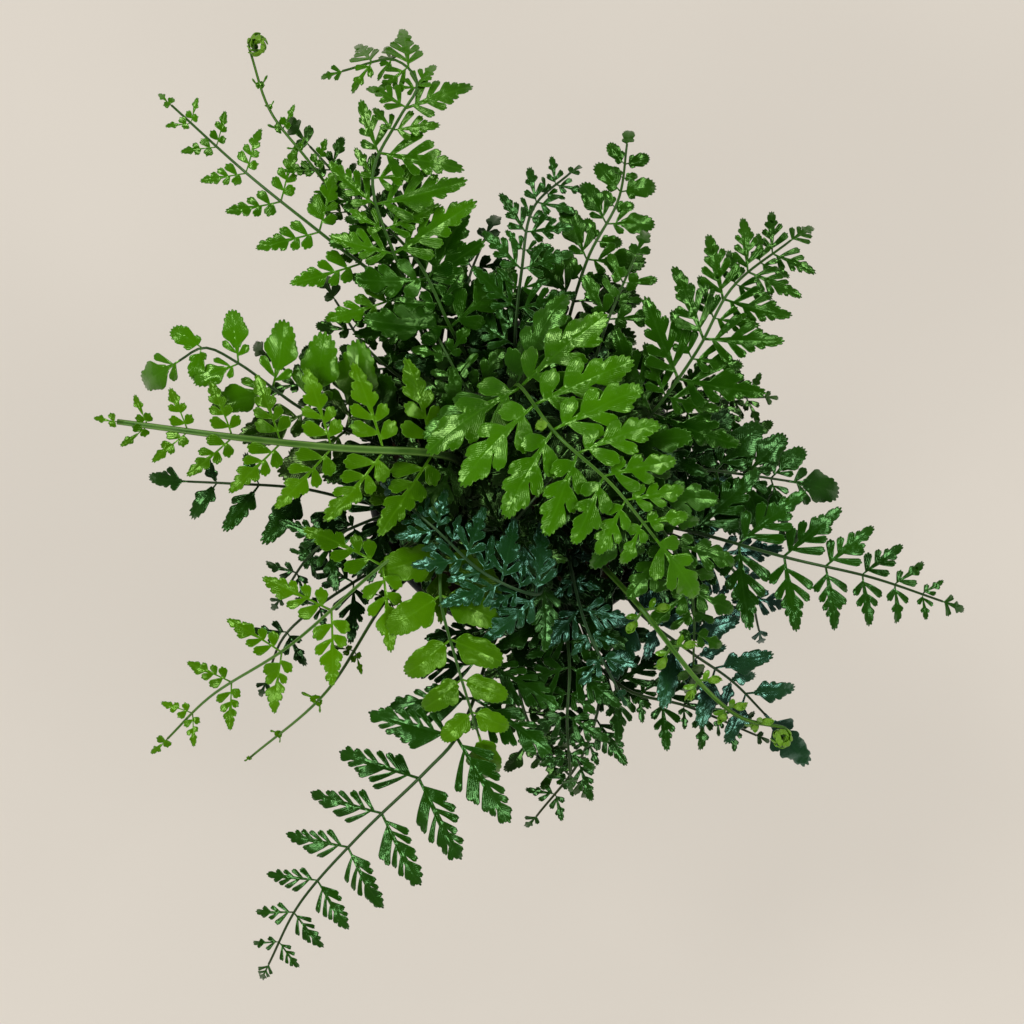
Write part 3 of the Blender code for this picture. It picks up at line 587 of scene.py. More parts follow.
# %% [markdown]
# ## The outline of a leaflet
#
# A leaflet of this fern is a wedge-shaped blade with rounded lobes that slant towards its tip. Broad ones
# have a nearly free lobe at the foot, feathery ones are cut almost to the rib. An outline like that is
# hard to draw in one go, but easy to build: every lobe is drawn as a simple closed shape of its own, and
# a Delaunay triangulation of all the shapes together gives their union.

# %% [markdown]
# A form lists lobes from the foot of a leaflet to its tip. Each has its start along the rib, its angle,
# its reach, its width and its neck, as shares of the leaflet's length, except the neck, which is a share
# of the lobe's width. A short leaflet has fewer and stouter lobes.

# %% Forms of leaflets
Form = namedtuple("Form", "pairs pitch lobes teeth bite blunt swell tip spine sag")
FORMS = {
    "broad": Form(3, 10.5, ((0.12, 52, 0.34, 0.195, 0.12), (0.36, 46, 0.32, 0.150, 0.50),
                            (0.56, 37, 0.27, 0.130, 0.65)), 3, 0.24, 0.60, 0.60, (0.62, 0.225, 7, 0.8),
                  ((0, 0.011), (0.12, 0.016), (0.25, 0.026), (0.37, 0.050), (0.5, 0.070), (0.8, 0.060)), 1.5),
    "cut": Form(4, 7.5, ((0.11, 52, 0.40, 0.132, 0.30), (0.29, 46, 0.33, 0.118, 0.42),
                         (0.45, 40, 0.26, 0.102, 0.55), (0.60, 34, 0.20, 0.088, 0.70)),
                3, 0.30, 0.55, 0.75, (0.60, 0.16, 5, 1.1),
                ((0, 0.012), (0.12, 0.018), (0.3, 0.040), (0.5, 0.068), (0.8, 0.065)), 1.2),
    "feather": Form(6, 6.0, ((0.11, 45, 0.38, 0.090, 0.26), (0.76, 32, 0.19, 0.068, 0.60)),
                    2, 0.38, 0.60, 0.95, (0.76, 0.11, 3, 0.9),
                    ((0, 0.012), (0.12, 0.016), (0.4, 0.028), (0.84, 0.042)), 1.0),
    "bead": Form(5, 6.0, ((0.14, 62, 0.30, 0.185, 0.10), (0.32, 54, 0.26, 0.150, 0.16),
                          (0.49, 43, 0.22, 0.120, 0.40), (0.62, 36, 0.19, 0.105, 0.60),
                          (0.74, 30, 0.16, 0.085, 0.70)),
                 3, 0.28, 0.55, 0.75, (0.66, 0.13, 5, 1.2),
                 ((0, 0.011), (0.38, 0.015), (0.52, 0.034), (0.7, 0.055), (0.88, 0.050)), 0.8),
    "oval": Form(1, 12.0, ((0.14, 46, 0.38, 0.22, 0.50),), 3, 0.11, 0.60, 0.60, (0.10, 0.50, 11, 1.0),
                 ((0, 0.014), (0.12, 0.020), (0.26, 0.05)), 1.6),
    "round": Form(2, 12.0, ((0.12, 54, 0.34, 0.150, 0.10), (0.34, 38, 0.38, 0.24, 0.50)),
                  3, 0.18, 0.60, 0.80, (0.26, 0.42, 9, 0.9), ((0, 0.012), (0.14, 0.016), (0.30, 0.05)), 2.2),
    "toothed": Form(3, 9.0, ((0.18, 42, 0.34, 0.15, 0.40), (0.38, 37, 0.28, 0.14, 0.60),
                             (0.54, 32, 0.23, 0.12, 0.80)),
                    2, 0.24, 0.50, 0.80, (0.14, 0.28, 7, 1.2), ((0, 0.012), (0.12, 0.018), (0.3, 0.06)), 1.2),
    "ball": Form(0, 9.0, (), 3, 0.08, 0.60, 0.60, (0.12, 0.62, 5, 1.0),
                 ((0, 0.03), (0.12, 0.04), (0.24, 0.05)), 1.0),
}
Lobe = namedtuple("Lobe", "start angle length width outline")
print(len(FORMS), "forms of leaflets")


# %% Draw one lobe, and all the lobes of a leaflet
def draw_lobe(start, angle, length, width, neck, blunt, swell, teeth, bite, fine):
    """A neck, sides that widen, and a round end with teeth, curved forward, turned and moved to its start."""
    blunt = min(blunt * width, 0.5 * length)
    shoulder = length - blunt
    lower = []
    for g in (0.0, 0.35, 0.65, 0.88):
        lower.append((g * shoulder, -width / 2 * (neck + (1.0 - neck) * g ** swell)))
    steps = teeth * fine
    end = []
    for i in range(steps + 1):
        t = math.pi * (i / steps - 0.5)
        wave = 1.0 - bite * (0.5 + 0.5 * math.cos(math.tau * i / fine)) * (0 < i < steps)
        end.append((shoulder + blunt * math.cos(t) * wave, width / 2 * math.sin(t) * wave))
    points = np.array(lower + end + [(x, -y) for x, y in reversed(lower)])
    points[:, 1] -= math.copysign(0.10, angle) * (angle != 0.0) * points[:, 0] ** 2 / length
    c, s = math.cos(angle), math.sin(angle)
    return Lobe(start, angle, length, width, points @ np.array([[c, s], [-s, c]]) + (start, 0.0))


def draw_leaflet(form, length, forward, chance):
    """The lobes of a leaflet of this length. Forward is the side that faces the frond's tip."""
    fine = 3 if length > 22 else 2
    pairs = min(form.pairs, round(length / form.pitch))
    stout = (form.pairs / max(pairs, 1)) ** 0.5 if form.pairs else 1.0
    lobes = []
    for k in range(pairs):
        share = k / max(pairs - 1, 1) * min(1.0, 0.4 + 0.6 * pairs / form.pairs)
        place = share * (len(form.lobes) - 1)
        begin, lean, reach, width, neck = (np.interp(place, range(len(form.lobes)), column)
                                           for column in zip(*form.lobes))
        for side in (1, -1):
            bigger = 1.0 + (0.12 if side == forward else -0.14) * (1.0 - share)
            shift = (0.02 if side == forward else -0.02) + chance.uniform(-0.015, 0.015)
            lobes.append(draw_lobe(
                (begin + shift) * length,
                math.radians(lean + chance.uniform(-4, 4)) * side,
                reach * length * bigger * chance.uniform(0.92, 1.08),
                width * length * stout * chance.uniform(0.90, 1.06),
                neck, form.blunt, form.swell, form.teeth, form.bite, fine))
    begin, width, teeth, blunt = form.tip
    begin *= 0.2 + 0.8 * pairs / max(form.pairs, 1)
    lobes.append(draw_lobe(begin * length, 0.0, (1.0 - begin) * length, width * min(stout, 1.3) * length,
                           0.30, blunt, form.swell, teeth, form.bite * 0.8, fine))
    return lobes


# %% The union of the lobes
def area_of(loop):
    x, y = loop[:, 0], loop[:, 1]
    return 0.5 * float(np.sum(x * np.roll(y, -1) - y * np.roll(x, -1)))


def rim_of(triangles):
    """The directed edges that only one triangle has."""
    tris = np.asarray(triangles)
    edges = np.concatenate([tris[:, [0, 1]], tris[:, [1, 2]], tris[:, [2, 0]]])
    own = {tuple(edge) for edge in edges.tolist()}
    return [edge for edge in own if edge[::-1] not in own]


def outer_loop(polygons):
    points = []
    faces = []
    for polygon in polygons:
        polygon = polygon if area_of(polygon) > 0 else polygon[::-1]
        faces.append(list(range(len(points), len(points) + len(polygon))))
        points += [Vector(p) for p in polygon]
    made = delaunay_2d_cdt(points, [], faces, 1, 1e-4)
    after = {}
    for a, b in sorted(rim_of(made[2])):
        after.setdefault(a, []).append(b)
    loops = []
    while after:
        here = next(iter(after))
        loop = []
        while here in after:
            loop.append(here)
            there = after[here].pop()
            if not after[here]:
                del after[here]
            here = there
        loops.append(np.array([made[0][k] for k in loop]))
    return max(loops, key=lambda loop: area_of(loop) if len(loop) > 2 else 0.0)


def thinned(loop, least):
    kept = [loop[0]]
    for point in loop[1:]:
        if np.hypot(*(point - kept[-1])) > least:
            kept.append(point)
    return np.array(kept)


print("leaflets can be drawn in", len(FORMS), "forms")

# %% [markdown]
# ## From an outline to a blade
#
# A flat outline would look like paper. Points are added just inside the rim, where the blade rolls over,
# and over its inside, and then all are raised or lowered: a groove along the rib, lobes that tip a
# little each way, edges that sag. A second skin under the first and a rim between them close the blade.

# %% Fill an outline with points and triangles
Blade = namedtuple("Blade", "flat triangles rim edge")
RIM_WIDTH = 0.45


def fill(loop, length):
    inset = min(RIM_WIDTH, 0.02 * length)
    ahead = np.roll(loop, -1, axis=0) - np.roll(loop, 1, axis=0)
    inward = np.stack([-ahead[:, 1], ahead[:, 0]], axis=1) / np.maximum(np.hypot(*ahead.T), 1e-9)[:, None]
    inner = loop + inward * inset
    gap = np.hypot(inner[:, None, 0] - loop[None, :, 0], inner[:, None, 1] - loop[None, :, 1]).min(axis=1)
    inner = inner[gap > 0.7 * inset]
    step = min(max(length / 10, 1.5), 3.8)
    low, high = loop.min(axis=0), loop.max(axis=0)
    grid = [(x + (0.5 * step if row % 2 else 0.0), y)
            for row, y in enumerate(np.arange(low[1], high[1], step * 0.87))
            for x in np.arange(low[0], high[0], step)]
    grid = np.array(grid + [(x, 0.0) for x in np.arange(0.06 * length, 0.97 * length, step * 0.8)])
    gap = np.hypot(grid[:, None, 0] - loop[None, :, 0], grid[:, None, 1] - loop[None, :, 1]).min(axis=1)
    grid = grid[gap > 2.0 * inset]
    points = [Vector(p) for p in np.concatenate([loop, inner, grid])]
    made = delaunay_2d_cdt(points, [], [list(range(len(loop)))], 1, 1e-4)
    used = sorted({k for tri in made[2] for k in tri})
    new = {old: k for k, old in enumerate(used)}
    triangles = np.array([[new[k] for k in tri] for tri in made[2]])
    flat = np.array([made[0][k] for k in used])
    rim = rim_of(triangles)
    edge = np.zeros(len(flat))
    edge[[a for a, _ in rim]] = 1.0
    return Blade(flat, triangles, rim, edge)


# %% Raise and lower the points of a blade
def heights(flat, lobes, length, form, chance):
    """How much each point rises: by lobe, then the droop of the tip, ripples and the fold at the rib."""
    x, y = flat[:, 0], flat[:, 1]
    total = np.zeros(len(flat))
    weight = np.full(len(flat), 0.35)
    for lobe in lobes:
        c, s = math.cos(lobe.angle), math.sin(lobe.angle)
        along = (x - lobe.start) * c + y * s
        across = -(x - lobe.start) * s + y * c
        near = np.exp(-2.2 * (across / (lobe.width / 2)) ** 2) * (along > -0.05 * length)
        slope = chance.uniform(-0.20, 0.16)
        droop = chance.uniform(0.15, 0.55) * form.sag
        cup = chance.uniform(-0.5, 0.9)
        share = np.clip(along / lobe.length, 0.0, 1.1)
        bend = slope * along * share - droop * 0.09 * length * share ** 3
        bend -= cup * 0.10 * lobe.width * (across / (lobe.width / 2)) ** 2
        total += near * bend
        weight += near
    raised = total / weight
    raised -= chance.uniform(0.16, 0.42) * length * np.clip(x / length - 0.45, 0.0, 1.0) ** 2
    wave = chance.uniform(0, 6.28)
    raised += 0.012 * length * np.sin(x * 9.0 / length + wave) * np.clip(np.abs(y) * 5.0 / length, 0, 1)
    raised += 0.28 * np.abs(y) * np.exp(-np.abs(y) / (0.08 * length))
    return raised - 0.22 * np.exp(-(y / 0.55) ** 2) * (x > 0)


print("blades can be filled and bent")

# %% [markdown]
# ## One frond, one mesh
#
# All that a frond is made of goes into one list of points and faces: the stem, its leaflets and any buds.
# Each point also carries what the materials read: where it is on its blade, how near the rim, which side
# of the blade, and a shade of its own for the leaflet. The inside of a dense crown is almost black, and
# lamps alone leave it too light, so a map of the whole rosette says how deep each point lies under the
# leaves above it, and the materials darken with that.

# %% How deep under the other leaves a point lies
CELL = 3.0
MAP_HALF = 270.0
MAP_SHAPE = (180, 180)


def spread_out(grid, reach):
    for axis in (0, 1):
        grid = sum(np.roll(grid, k, axis) for k in range(-reach, reach + 1)) / (2 * reach + 1)
    return grid


def cells_of(points):
    cells = np.floor((points[:, :2] + MAP_HALF) / CELL).astype(int)
    return cells[:, 0], cells[:, 1]


class Canopy:
    """A map, seen from above, of how much is covered near each place and how high the leaves there are."""

    def __init__(self, points):
        top = np.zeros(MAP_SHAPE)
        np.maximum.at(top, cells_of(points), points[:, 2])
        self.maps = []
        for reach in (2, 6):
            cover = spread_out((top > 0.0).astype(float), reach)
            self.maps.append((cover, spread_out(top, reach) / np.maximum(cover, 1e-6)))

    def depth(self, points):
        """From 0 in the light to 1 deep under the leaves."""
        place = cells_of(points)
        shares = []
        for (cover, height), reach in zip(self.maps, (26.0, 60.0)):
            share = np.clip((height[place] - points[:, 2] - 1.5) / reach, 0.0, 1.0)
            shares.append(share * cover[place])
        return 1.0 - (1.0 - shares[0]) * (1.0 - shares[1])


# %% Gather a frond
LEAF_FINISH, STEM_FINISH, YOUNG_FINISH, SHADED_FINISH = range(4)


class Growth:
    def __init__(self, freshness=0.0):
        self.freshness = freshness
        self.points = []
        self.faces = []
        self.notes = []
        self.finishes = []
        self.count = 0

    def add(self, points, faces, uv, edge, under, tone, finish):
        self.faces += [tuple(k + self.count for k in face) for face in faces]
        self.finishes += [finish] * len(faces)
        self.points.append(points)
        note = np.zeros((len(points), 5))
        note[:, 0:2], note[:, 2], note[:, 3], note[:, 4] = uv, edge, under, tone + self.freshness
        self.notes.append(note)
        self.count += len(points)

    def piece(self, name, materials, canopy):
        mesh = bpy.data.meshes.new(name)
        mesh.from_pydata((np.concatenate(self.points) * MM).tolist(), [], self.faces)
        for material in materials:
            mesh.materials.append(material)
        mesh.polygons.foreach_set("material_index", self.finishes)
        mesh.polygons.foreach_set("use_smooth", [True] * len(mesh.polygons))
        notes = np.concatenate(self.notes)
        corner = np.empty(len(mesh.loops), np.int32)
        mesh.loops.foreach_get("vertex_index", corner)
        mesh.uv_layers.new(name="blade").data.foreach_set("uv", (notes[corner, 0:2] * 0.01).ravel())
        columns = {"edge": notes[:, 2], "under": notes[:, 3], "tone": notes[:, 4],
                   "depth": canopy.depth(np.concatenate(self.points))}
        for key, values in columns.items():
            mesh.attributes.new(key, "FLOAT", "POINT").data.foreach_set("value", values.copy())
        made = bpy.data.objects.new(name, mesh)
        bpy.context.collection.objects.link(made)
        return made


# %% Set a blade in space and give it its thickness
def normals_of(points, triangles):
    a, b, c = (points[triangles[:, k]] for k in range(3))
    face = np.cross(b - a, c - a)
    total = np.zeros_like(points)
    for k in range(3):
        np.add.at(total, triangles[:, k], face)
    return total / np.maximum(np.linalg.norm(total, axis=1), 1e-9)[:, None]


ROLL = 7.0
LEAF_THICK = 0.34
ROOT_THICKER = 0.55
ROOT_REACH = 2.2


def grow_blade(growth, seat, form, arch, chance, curl=0.0, finish=LEAF_FINISH):
    rolled = Quaternion(seat.heading, math.radians(chance.gauss(0.0, ROLL))) @ seat.up
    across = np.array(rolled.cross(seat.heading).normalized())
    heading, up, root = np.array(seat.heading), np.array(rolled), np.array(seat.root)
    forward = 1 if seat.ahead.dot(Vector(across)) > 0 else -1
    length = seat.length
    lobes = draw_leaflet(form, length, forward, chance)
    spine = np.array([(x * length, w * length) for x, w in form.spine])
    spine = np.concatenate([spine * (1, -1), spine[::-1]])
    loop = thinned(outer_loop([lobe.outline for lobe in lobes] + [spine]), 0.10 + 0.003 * length)
    blade = fill(loop, length)
    rise = heights(blade.flat, lobes, length, form, chance)
    x = blade.flat[:, 0] - 0.6 * np.exp(-blade.flat[:, 0] / 1.5)
    bow = chance.uniform(0.02, 0.07) * forward
    y = blade.flat[:, 1] + bow * x * x / length
    lift = math.radians(seat.lift)
    if curl:
        turn = curl * x / length
        far = np.sin(turn) * length / curl - np.sin(turn) * rise
        high = (1.0 - np.cos(turn)) * length / curl + np.cos(turn) * rise
    else:
        far = x * math.cos(lift)
        high = (math.tan(lift) * x - arch * x * x / length) * math.cos(lift) + rise
    middle = root + far[:, None] * heading + high[:, None] * up + y[:, None] * across
    thick = (LEAF_THICK + ROOT_THICKER * np.exp(-np.maximum(x, 0) / ROOT_REACH))[:, None] / 2
    offset = normals_of(middle, blade.triangles) * thick
    count = len(middle)
    faces = blade.triangles.tolist() + (blade.triangles[:, ::-1] + count).tolist()
    faces += [(a, a + count, b + count, b) for a, b in blade.rim]
    uv = np.tile(blade.flat, (2, 1))
    under = np.repeat((0.0, 1.0), count)
    tone = chance.uniform(0.0, 0.65) + 0.40 * np.clip(blade.flat[:, 0] / length, 0.0, 1.0)
    growth.add(np.concatenate([middle + offset, middle - offset]), faces, uv,
               np.tile(blade.edge, 2), under, np.tile(tone, 2), finish)


print("blades can be set in space")

# %% [markdown]
# ## Stems, coils and buds
#
# A fern's stem is grooved on top, with a ridge on each side that runs out into the leaflets. The tip of a
# young frond is a flat spiral, and its youngest leaflets are still rolled up in little balls.

# %% A grooved stem
def grow_tube(growth, places, sides, ups, halves, tone, rings=12):
    count = len(places)
    groove = {rings // 4 - 1: 1.12, rings // 4: 0.68, rings // 4 + 1: 1.12}
    points = []
    uv = []
    far = 0.0
    for k in range(count):
        far += (places[k] - places[k - 1]).length if k else 0.0
        for j in range(rings):
            angle = math.tau * j / rings
            size = halves[k] * groove.get(j, 1.0)
            point = places[k] + sides[k] * (size * math.cos(angle)) + ups[k] * (size * 0.92 * math.sin(angle))
            points.append(point)
            uv.append((far, 3.0 * math.sin(angle)))
    faces = []
    for k in range(count - 1):
        for j in range(rings):
            a, b = k * rings + j, k * rings + (j + 1) % rings
            faces.append((a, a + rings, b + rings, b))
    points += [places[0], places[-1]]
    uv += [(0.0, 0.0), (far, 0.0)]
    last = (count - 1) * rings
    for j in range(rings):
        faces.append((count * rings, j, (j + 1) % rings))
        faces.append((count * rings + 1, last + (j + 1) % rings, last + j))
    growth.add(np.array(points), faces, np.array(uv), 0.0, 0.0, tone, STEM_FINISH)


# %% The way of a whole stem, with the coil of a young one
Coil = namedtuple("Coil", "radius turns shrink stations")
COIL = Coil(4.6, 1.25, 0.62, 9)
FINER = 4
COIL_POINTS = COIL.stations * FINER


def frame_at(stem, s):
    """The place on a stem at a length along it, with its tangent, its up and its side."""
    marks = [share * stem.along[-1] for share in stem.shares]
    k = min(max(int(np.searchsorted(marks, s)), 1), len(marks) - 1)
    normal = stem.frames[k - 1][1].lerp(stem.frames[k][1], (s - marks[k - 1]) / (marks[k] - marks[k - 1]))
    tangent = point_at(stem.route, stem.along, s + 1.0) - point_at(stem.route, stem.along, s - 1.0)
    tangent.normalize()
    up = across_part(normal, tangent)
    return point_at(stem.route, stem.along, s), (tangent, up, tangent.cross(up))


def stem_line(frond, stem):
    """Points about 4 mm apart with their sides, ups and half widths, and those of the coil of a young tip."""
    total = stem.shares[-1] * stem.along[-1]
    places, sides, ups, halves = [], [], [], []
    steps = round(total / 4.0)
    for i in range(steps + 1):
        here, (tangent, up, side) = frame_at(stem, total * i / steps)
        places.append(here)
        ups.append(up)
        sides.append(side)
        halves.append(STEM_WIDTH / 2 * thinned_by(i / steps))
    if frond.coiled:
        tangent, normal, side = stem.frames[-1]
        step = math.tau * COIL.turns / COIL_POINTS
        for k in range(COIL_POINTS):
            here = COIL.radius * (1.0 - COIL.shrink * (k // FINER) / COIL.stations)
            turn = step * (k + 0.5)
            heading = tangent * math.cos(turn) + normal * math.sin(turn)
            places.append(places[-1] + heading * (2.0 * here * math.sin(step / 2)))
            ups.append(normal * math.cos(turn + step / 2) - tangent * math.sin(turn + step / 2))
            sides.append(side)
            halves.append(STEM_WIDTH / 4 * (1.0 + 0.3 * k / COIL_POINTS))
    return places, sides, ups, halves


# %% A bud: leaflets still rolled up in a ball
def grow_bud(growth, place, heading, up, size, chance):
    side = heading.cross(up).normalized()
    for k in range(7):
        angle = math.tau * k / 7 + chance.uniform(-0.3, 0.3)
        spread = 0.5 if k % 2 else 1.0
        out = side * math.cos(angle) + up * math.sin(angle)
        way = (heading * 0.6 + out * spread).normalized()
        inward = across_part(heading * 0.8 - out * 0.6, way)
        seat = Seat(1, 0.0, place, way, inward, side, size * chance.uniform(0.85, 1.15), 0.0)
        grow_blade(growth, seat, FORMS["ball"], 0.0, chance, chance.uniform(1.9, 2.6), YOUNG_FINISH)


def grow_stalk(growth, seat, length, half):
    places = [seat.root + seat.heading * (length * k / 4) + seat.up * (0.12 * length * (k / 4) ** 2)
              for k in range(5)]
    side = seat.heading.cross(seat.up).normalized()
    grow_tube(growth, places, [side] * 5, [seat.up] * 5, [half] * 5, 0.5, rings=8)
    return places[-1]


print("stems, coils and buds can be grown")

# %% [markdown]
# ## What leaves look like
#
# A leaf's green isn't one colour. It is deeper in some patches and fresher in others, pale along the rib,
# paler still at the very rim, partly its own pale margin and partly a painted highlight where the rim
# catches the light, and duller underneath. Light catches it between the veins, which lie a little
# lower than the blade. A tone lists the deep, the fresh and the lower side's colour, the roughness, and
# the strength and colour of the sheen, which is tinted, since a white one would grey the dark leaves.

# %% The leaf materials
Tone = namedtuple("Tone", "deep fresh under rough gloss tint")
TONES = {
    "bright": Tone((0.012, 0.068, 0), (0.054, 0.202, 0), (0.07, 0.18, 0.003), 0.20, 0.75, (0.60, 1, 0.34)),
    "lime": Tone((0.024, 0.094, 0), (0.08, 0.232, 0), (0.09, 0.22, 0.005), 0.22, 0.65, (0.56, 1, 0.24)),
    "mid": Tone((0.004, 0.032, 0), (0.02, 0.092, 0), (0.036, 0.105, 0.002), 0.20, 0.75, (0.46, 1, 0.28)),
    "dark": Tone((0.003, 0.021, 0), (0.013, 0.068, 0.0005), (0.028, 0.08, 0.004), 0.2, 0.72, (0.42, 1, 0.38)),
    "blue": Tone((0.002, 0.018, 0.001), (0.008, 0.052, 0.006), (0.02, 0.07, 0.02), 0.21, 1, (0.42, 1, 0.85)),
    "young": Tone((0.025, 0.105, 0), (0.095, 0.27, 0.001), (0.13, 0.29, 0.01), 0.24, 0.80, (0.70, 1, 0.50)),
}
VEIN_GAP = 1.35
SHADE = 0.92


def leaf_material(name, tone):
    tint = (*tone.tint, 1.0)
    shader = Shader("leaf " + name, Specular_IOR_Level=tone.gloss, Specular_Tint=tint)
    place = shader.place()
    blade = shader.node("ShaderNodeUVMap", {"uv_map": "blade"}, {}, "UV")
    x = shader.node("ShaderNodeSeparateXYZ", {}, {0: blade}, 0) * 100.0
    y = shader.node("ShaderNodeSeparateXYZ", {}, {0: blade}, 1) * 100.0
    aside = y.math("ABSOLUTE")
    patches = shader.grain(place, 38.0)
    wobble = shader.grain(place, 420.0, 1.0)
    veins = ((x - aside * 1.25 + wobble * 0.8) * (math.tau / VEIN_GAP)).math("SINE") * 0.5 + 0.5
    veins = veins ** 7.0 * (aside * 0.5).clamped()
    rib = (y * y * -5.0).math("EXPONENT")
    fresh = (shader.attribute("tone") * 0.75 + patches * 1.2 - 0.50 + wobble * 0.25).clamped()
    colour = shader.mix(fresh, tone.deep, tone.fresh)
    pale = tuple(1.3 * v + 0.012 for v in tone.fresh)
    colour = shader.mix((veins * 0.12 + rib * 0.22).clamped(), colour, pale)
    # Paler at the very rim: partly the margin's own paler green, partly a painted highlight where the rim
    # catches the light.
    edge = shader.attribute("edge")
    colour = shader.mix((edge ** 2.0 * 0.55).clamped(), colour, pale)
    colour = shader.mix(shader.attribute("under").clamped(), colour, tone.under)
    # Painted shade: the colour is darkened by how deep the point lies under the leaves above it.
    shader.feed("Base Color", shader.shade(colour, 1.0 - shader.attribute("depth") * SHADE))
    shader.feed("Roughness", patches * 0.16 + (tone.rough - 0.08) + shader.attribute("under") * 0.2)
    shader.bump(wobble * 1.2 - veins * 0.20 - rib * 0.4, 0.35, 0.0004)
    return shader.material


leaf_materials = {name: leaf_material(name, tone) for name, tone in TONES.items()}
print(len(leaf_materials), "leaf materials")


# %% The stem materials
def stem_material(name, deep, pale):
    shader = Shader(name, Specular_IOR_Level=0.6, Specular_Tint=(0.6, 1.0, 0.5, 1.0))
    place = shader.place()
    blade = shader.node("ShaderNodeUVMap", {"uv_map": "blade"}, {}, "UV")
    height = shader.node("ShaderNodeSeparateXYZ", {}, {0: blade}, 1) * 100.0
    patches = shader.grain(place, 60.0)
    ridge = ((height - 2.1) * (height - 2.1) * -4.0).math("EXPONENT")
    low = shader.node("ShaderNodeSeparateXYZ", {}, {0: place}, 2)
    high = ((low - 0.13) * 14.0).clamped()
    colour = shader.mix((ridge * 0.8 + patches * 0.7 - 0.3).clamped(), deep, pale)
    colour = shader.mix(high, (0.030, 0.022, 0.008), colour)
    # Painted shade: the colour is darkened by how deep the point lies under the leaves above it.
    shader.feed("Base Color", shader.shade(colour, 1.0 - shader.attribute("depth") * SHADE))
    shader.feed("Roughness", patches * 0.2 + 0.3)
    shader.bump(shader.grain(place, 900.0), 0.15, 0.0003)
    return shader.material


stem_materials = {
    "bright": stem_material("stem bright", (0.022, 0.090, 0.002), (0.110, 0.250, 0.020)),
    "lime": stem_material("stem lime", (0.024, 0.090, 0.003), (0.170, 0.310, 0.060)),
    "mid": stem_material("stem mid", (0.014, 0.060, 0.003), (0.050, 0.140, 0.012)),
    "dark": stem_material("stem dark", (0.008, 0.028, 0.004), (0.022, 0.070, 0.012)),
    "blue": stem_material("stem blue", (0.008, 0.030, 0.010), (0.025, 0.080, 0.036)),
}
print(len(bpy.data.materials), "materials")

# %% [markdown]
# ## Grow the fronds
#
# Each frond is now grown at the seats that were read from the plain model. Where pairs stand far apart,
# a smaller pair goes between them, as on the real plant, whose crown is dense.

# %% Seats between two pairs, and below the first
LOWER_PAIRS = 6
LEAST_GAP = 13.0
CLEAR_OF_SOIL = 40.0
HALFWAY_SIZE = 0.62
HALFWAY_DROOP = 6.0


def halfway(first, second, stem):
    """A smaller leaflet between two of the same side, on the stem's own curve."""
    root = (first.root + second.root) / 2
    middle = min(stem.route, key=lambda p: (p - root).length)
    heading = (first.heading + second.heading).normalized()
    return first._replace(
        root=middle + (root - middle).normalized() * (STEM_WIDTH * 0.38), heading=heading,
        up=across_part(first.up + second.up, heading),
        length=HALFWAY_SIZE * (first.length + second.length) / 2,
        lift=(first.lift + second.lift) / 2 - HALFWAY_DROOP)


def lower_seats(frond, stem):
    """Pairs below the first one, where the stem comes up out of the crown."""
    found = []
    gap = max(LEAST_GAP, 0.8 * (pair_start(frond, stem.leafy, stem.along[-1], 1) - stem.leafy))
    for k in range(1, LOWER_PAIRS + 1):
        s = stem.leafy - k * gap
        if s > CLEAR_OF_SOIL:
            (here, frame_here), (then, frame_then) = frame_at(stem, s), frame_at(stem, s + 2.0)
            after = frame_at(stem, s + 8.0)[0]
            thick = thinned_by(s / stem.along[-1])
            pair = seat_pair(frond, 0.0, here, frame_here, then, frame_then, after, thick)
            found += [seat._replace(length=seat.length * (1.0 - 0.07 * k)) for seat in pair]
    return found


# %% [markdown]
# Some fronds differ from the rule. Their leaflets have another form (LOOKS), are larger than in the plain
# model (FULLER) or fresher in colour (FRESHNESS), their stems are wider (WIDER) or have another tone
# (STEM_TONES), and the OPEN ones have no leaflets between their pairs. The lowest leaflets of every
# frond stand in its own shade, which is painted: they take the darker tone in SHADED.

# %% Fronds that differ from the rule
LOOKS = {"left_bright": "round", "right_low": "toothed", "left_dark": "toothed", "center_blue": "cut",
         "right_upper": "round", "top_right_thin": "round"}
# Painted shade: the darker tone that the lowest leaflets of each tone take.
SHADED = {"bright": "mid", "lime": "mid", "mid": "dark", "dark": "dark", "blue": "dark"}
STEM_TONES = {"left_bright": "dark", "lime_oval": "mid", "ul_long": "mid", "top_curl": "mid"}
WIDER = {"left_long": 2.3, "fiddle_right": 1.6, "hero": 1.15}
OPEN = ("hero", "left_long", "ul_long", "bottom_feather", "right_long", "lower_left_lime", "lower_left_thin",
        "left_dark", "left_bright", "lime_oval")
FRESHNESS = {"left_bright": 0.70, "top_curl": -0.25, "ul_fiddle": -0.20, "ul_long": 0.05, "ur_big": -0.15,
             "lower_left_lime": 0.10, "hero": 0.10, "left_long": -0.20, "right_long": 0.05,
             "ul_mid": -0.30}
FULLER = {"left_bright": 1.20, "right_low": 1.25, "right_mid": 1.20, "left_dark": 1.25, "top_right_thin": 1.3,
          "top_mid_dark": 1.15, "low_right_row": 1.15, "right_upper": 1.2, "bottom_dark": 1.12,
          "center_right": 1.12, "lower_left_dark": 1.15, "left_low_dark": 1.15, "lower_left_thin": 1.15,
          "lower_left_lime": 1.12, "right_long": 1.08, "ul_long": 1.08, "ul_fiddle": 1.35, "ul_mid": 1.12,
          "lime_oval": 1.22}
print(len(LOOKS), "fronds have another form of leaflet and", len(OPEN), "are left open")


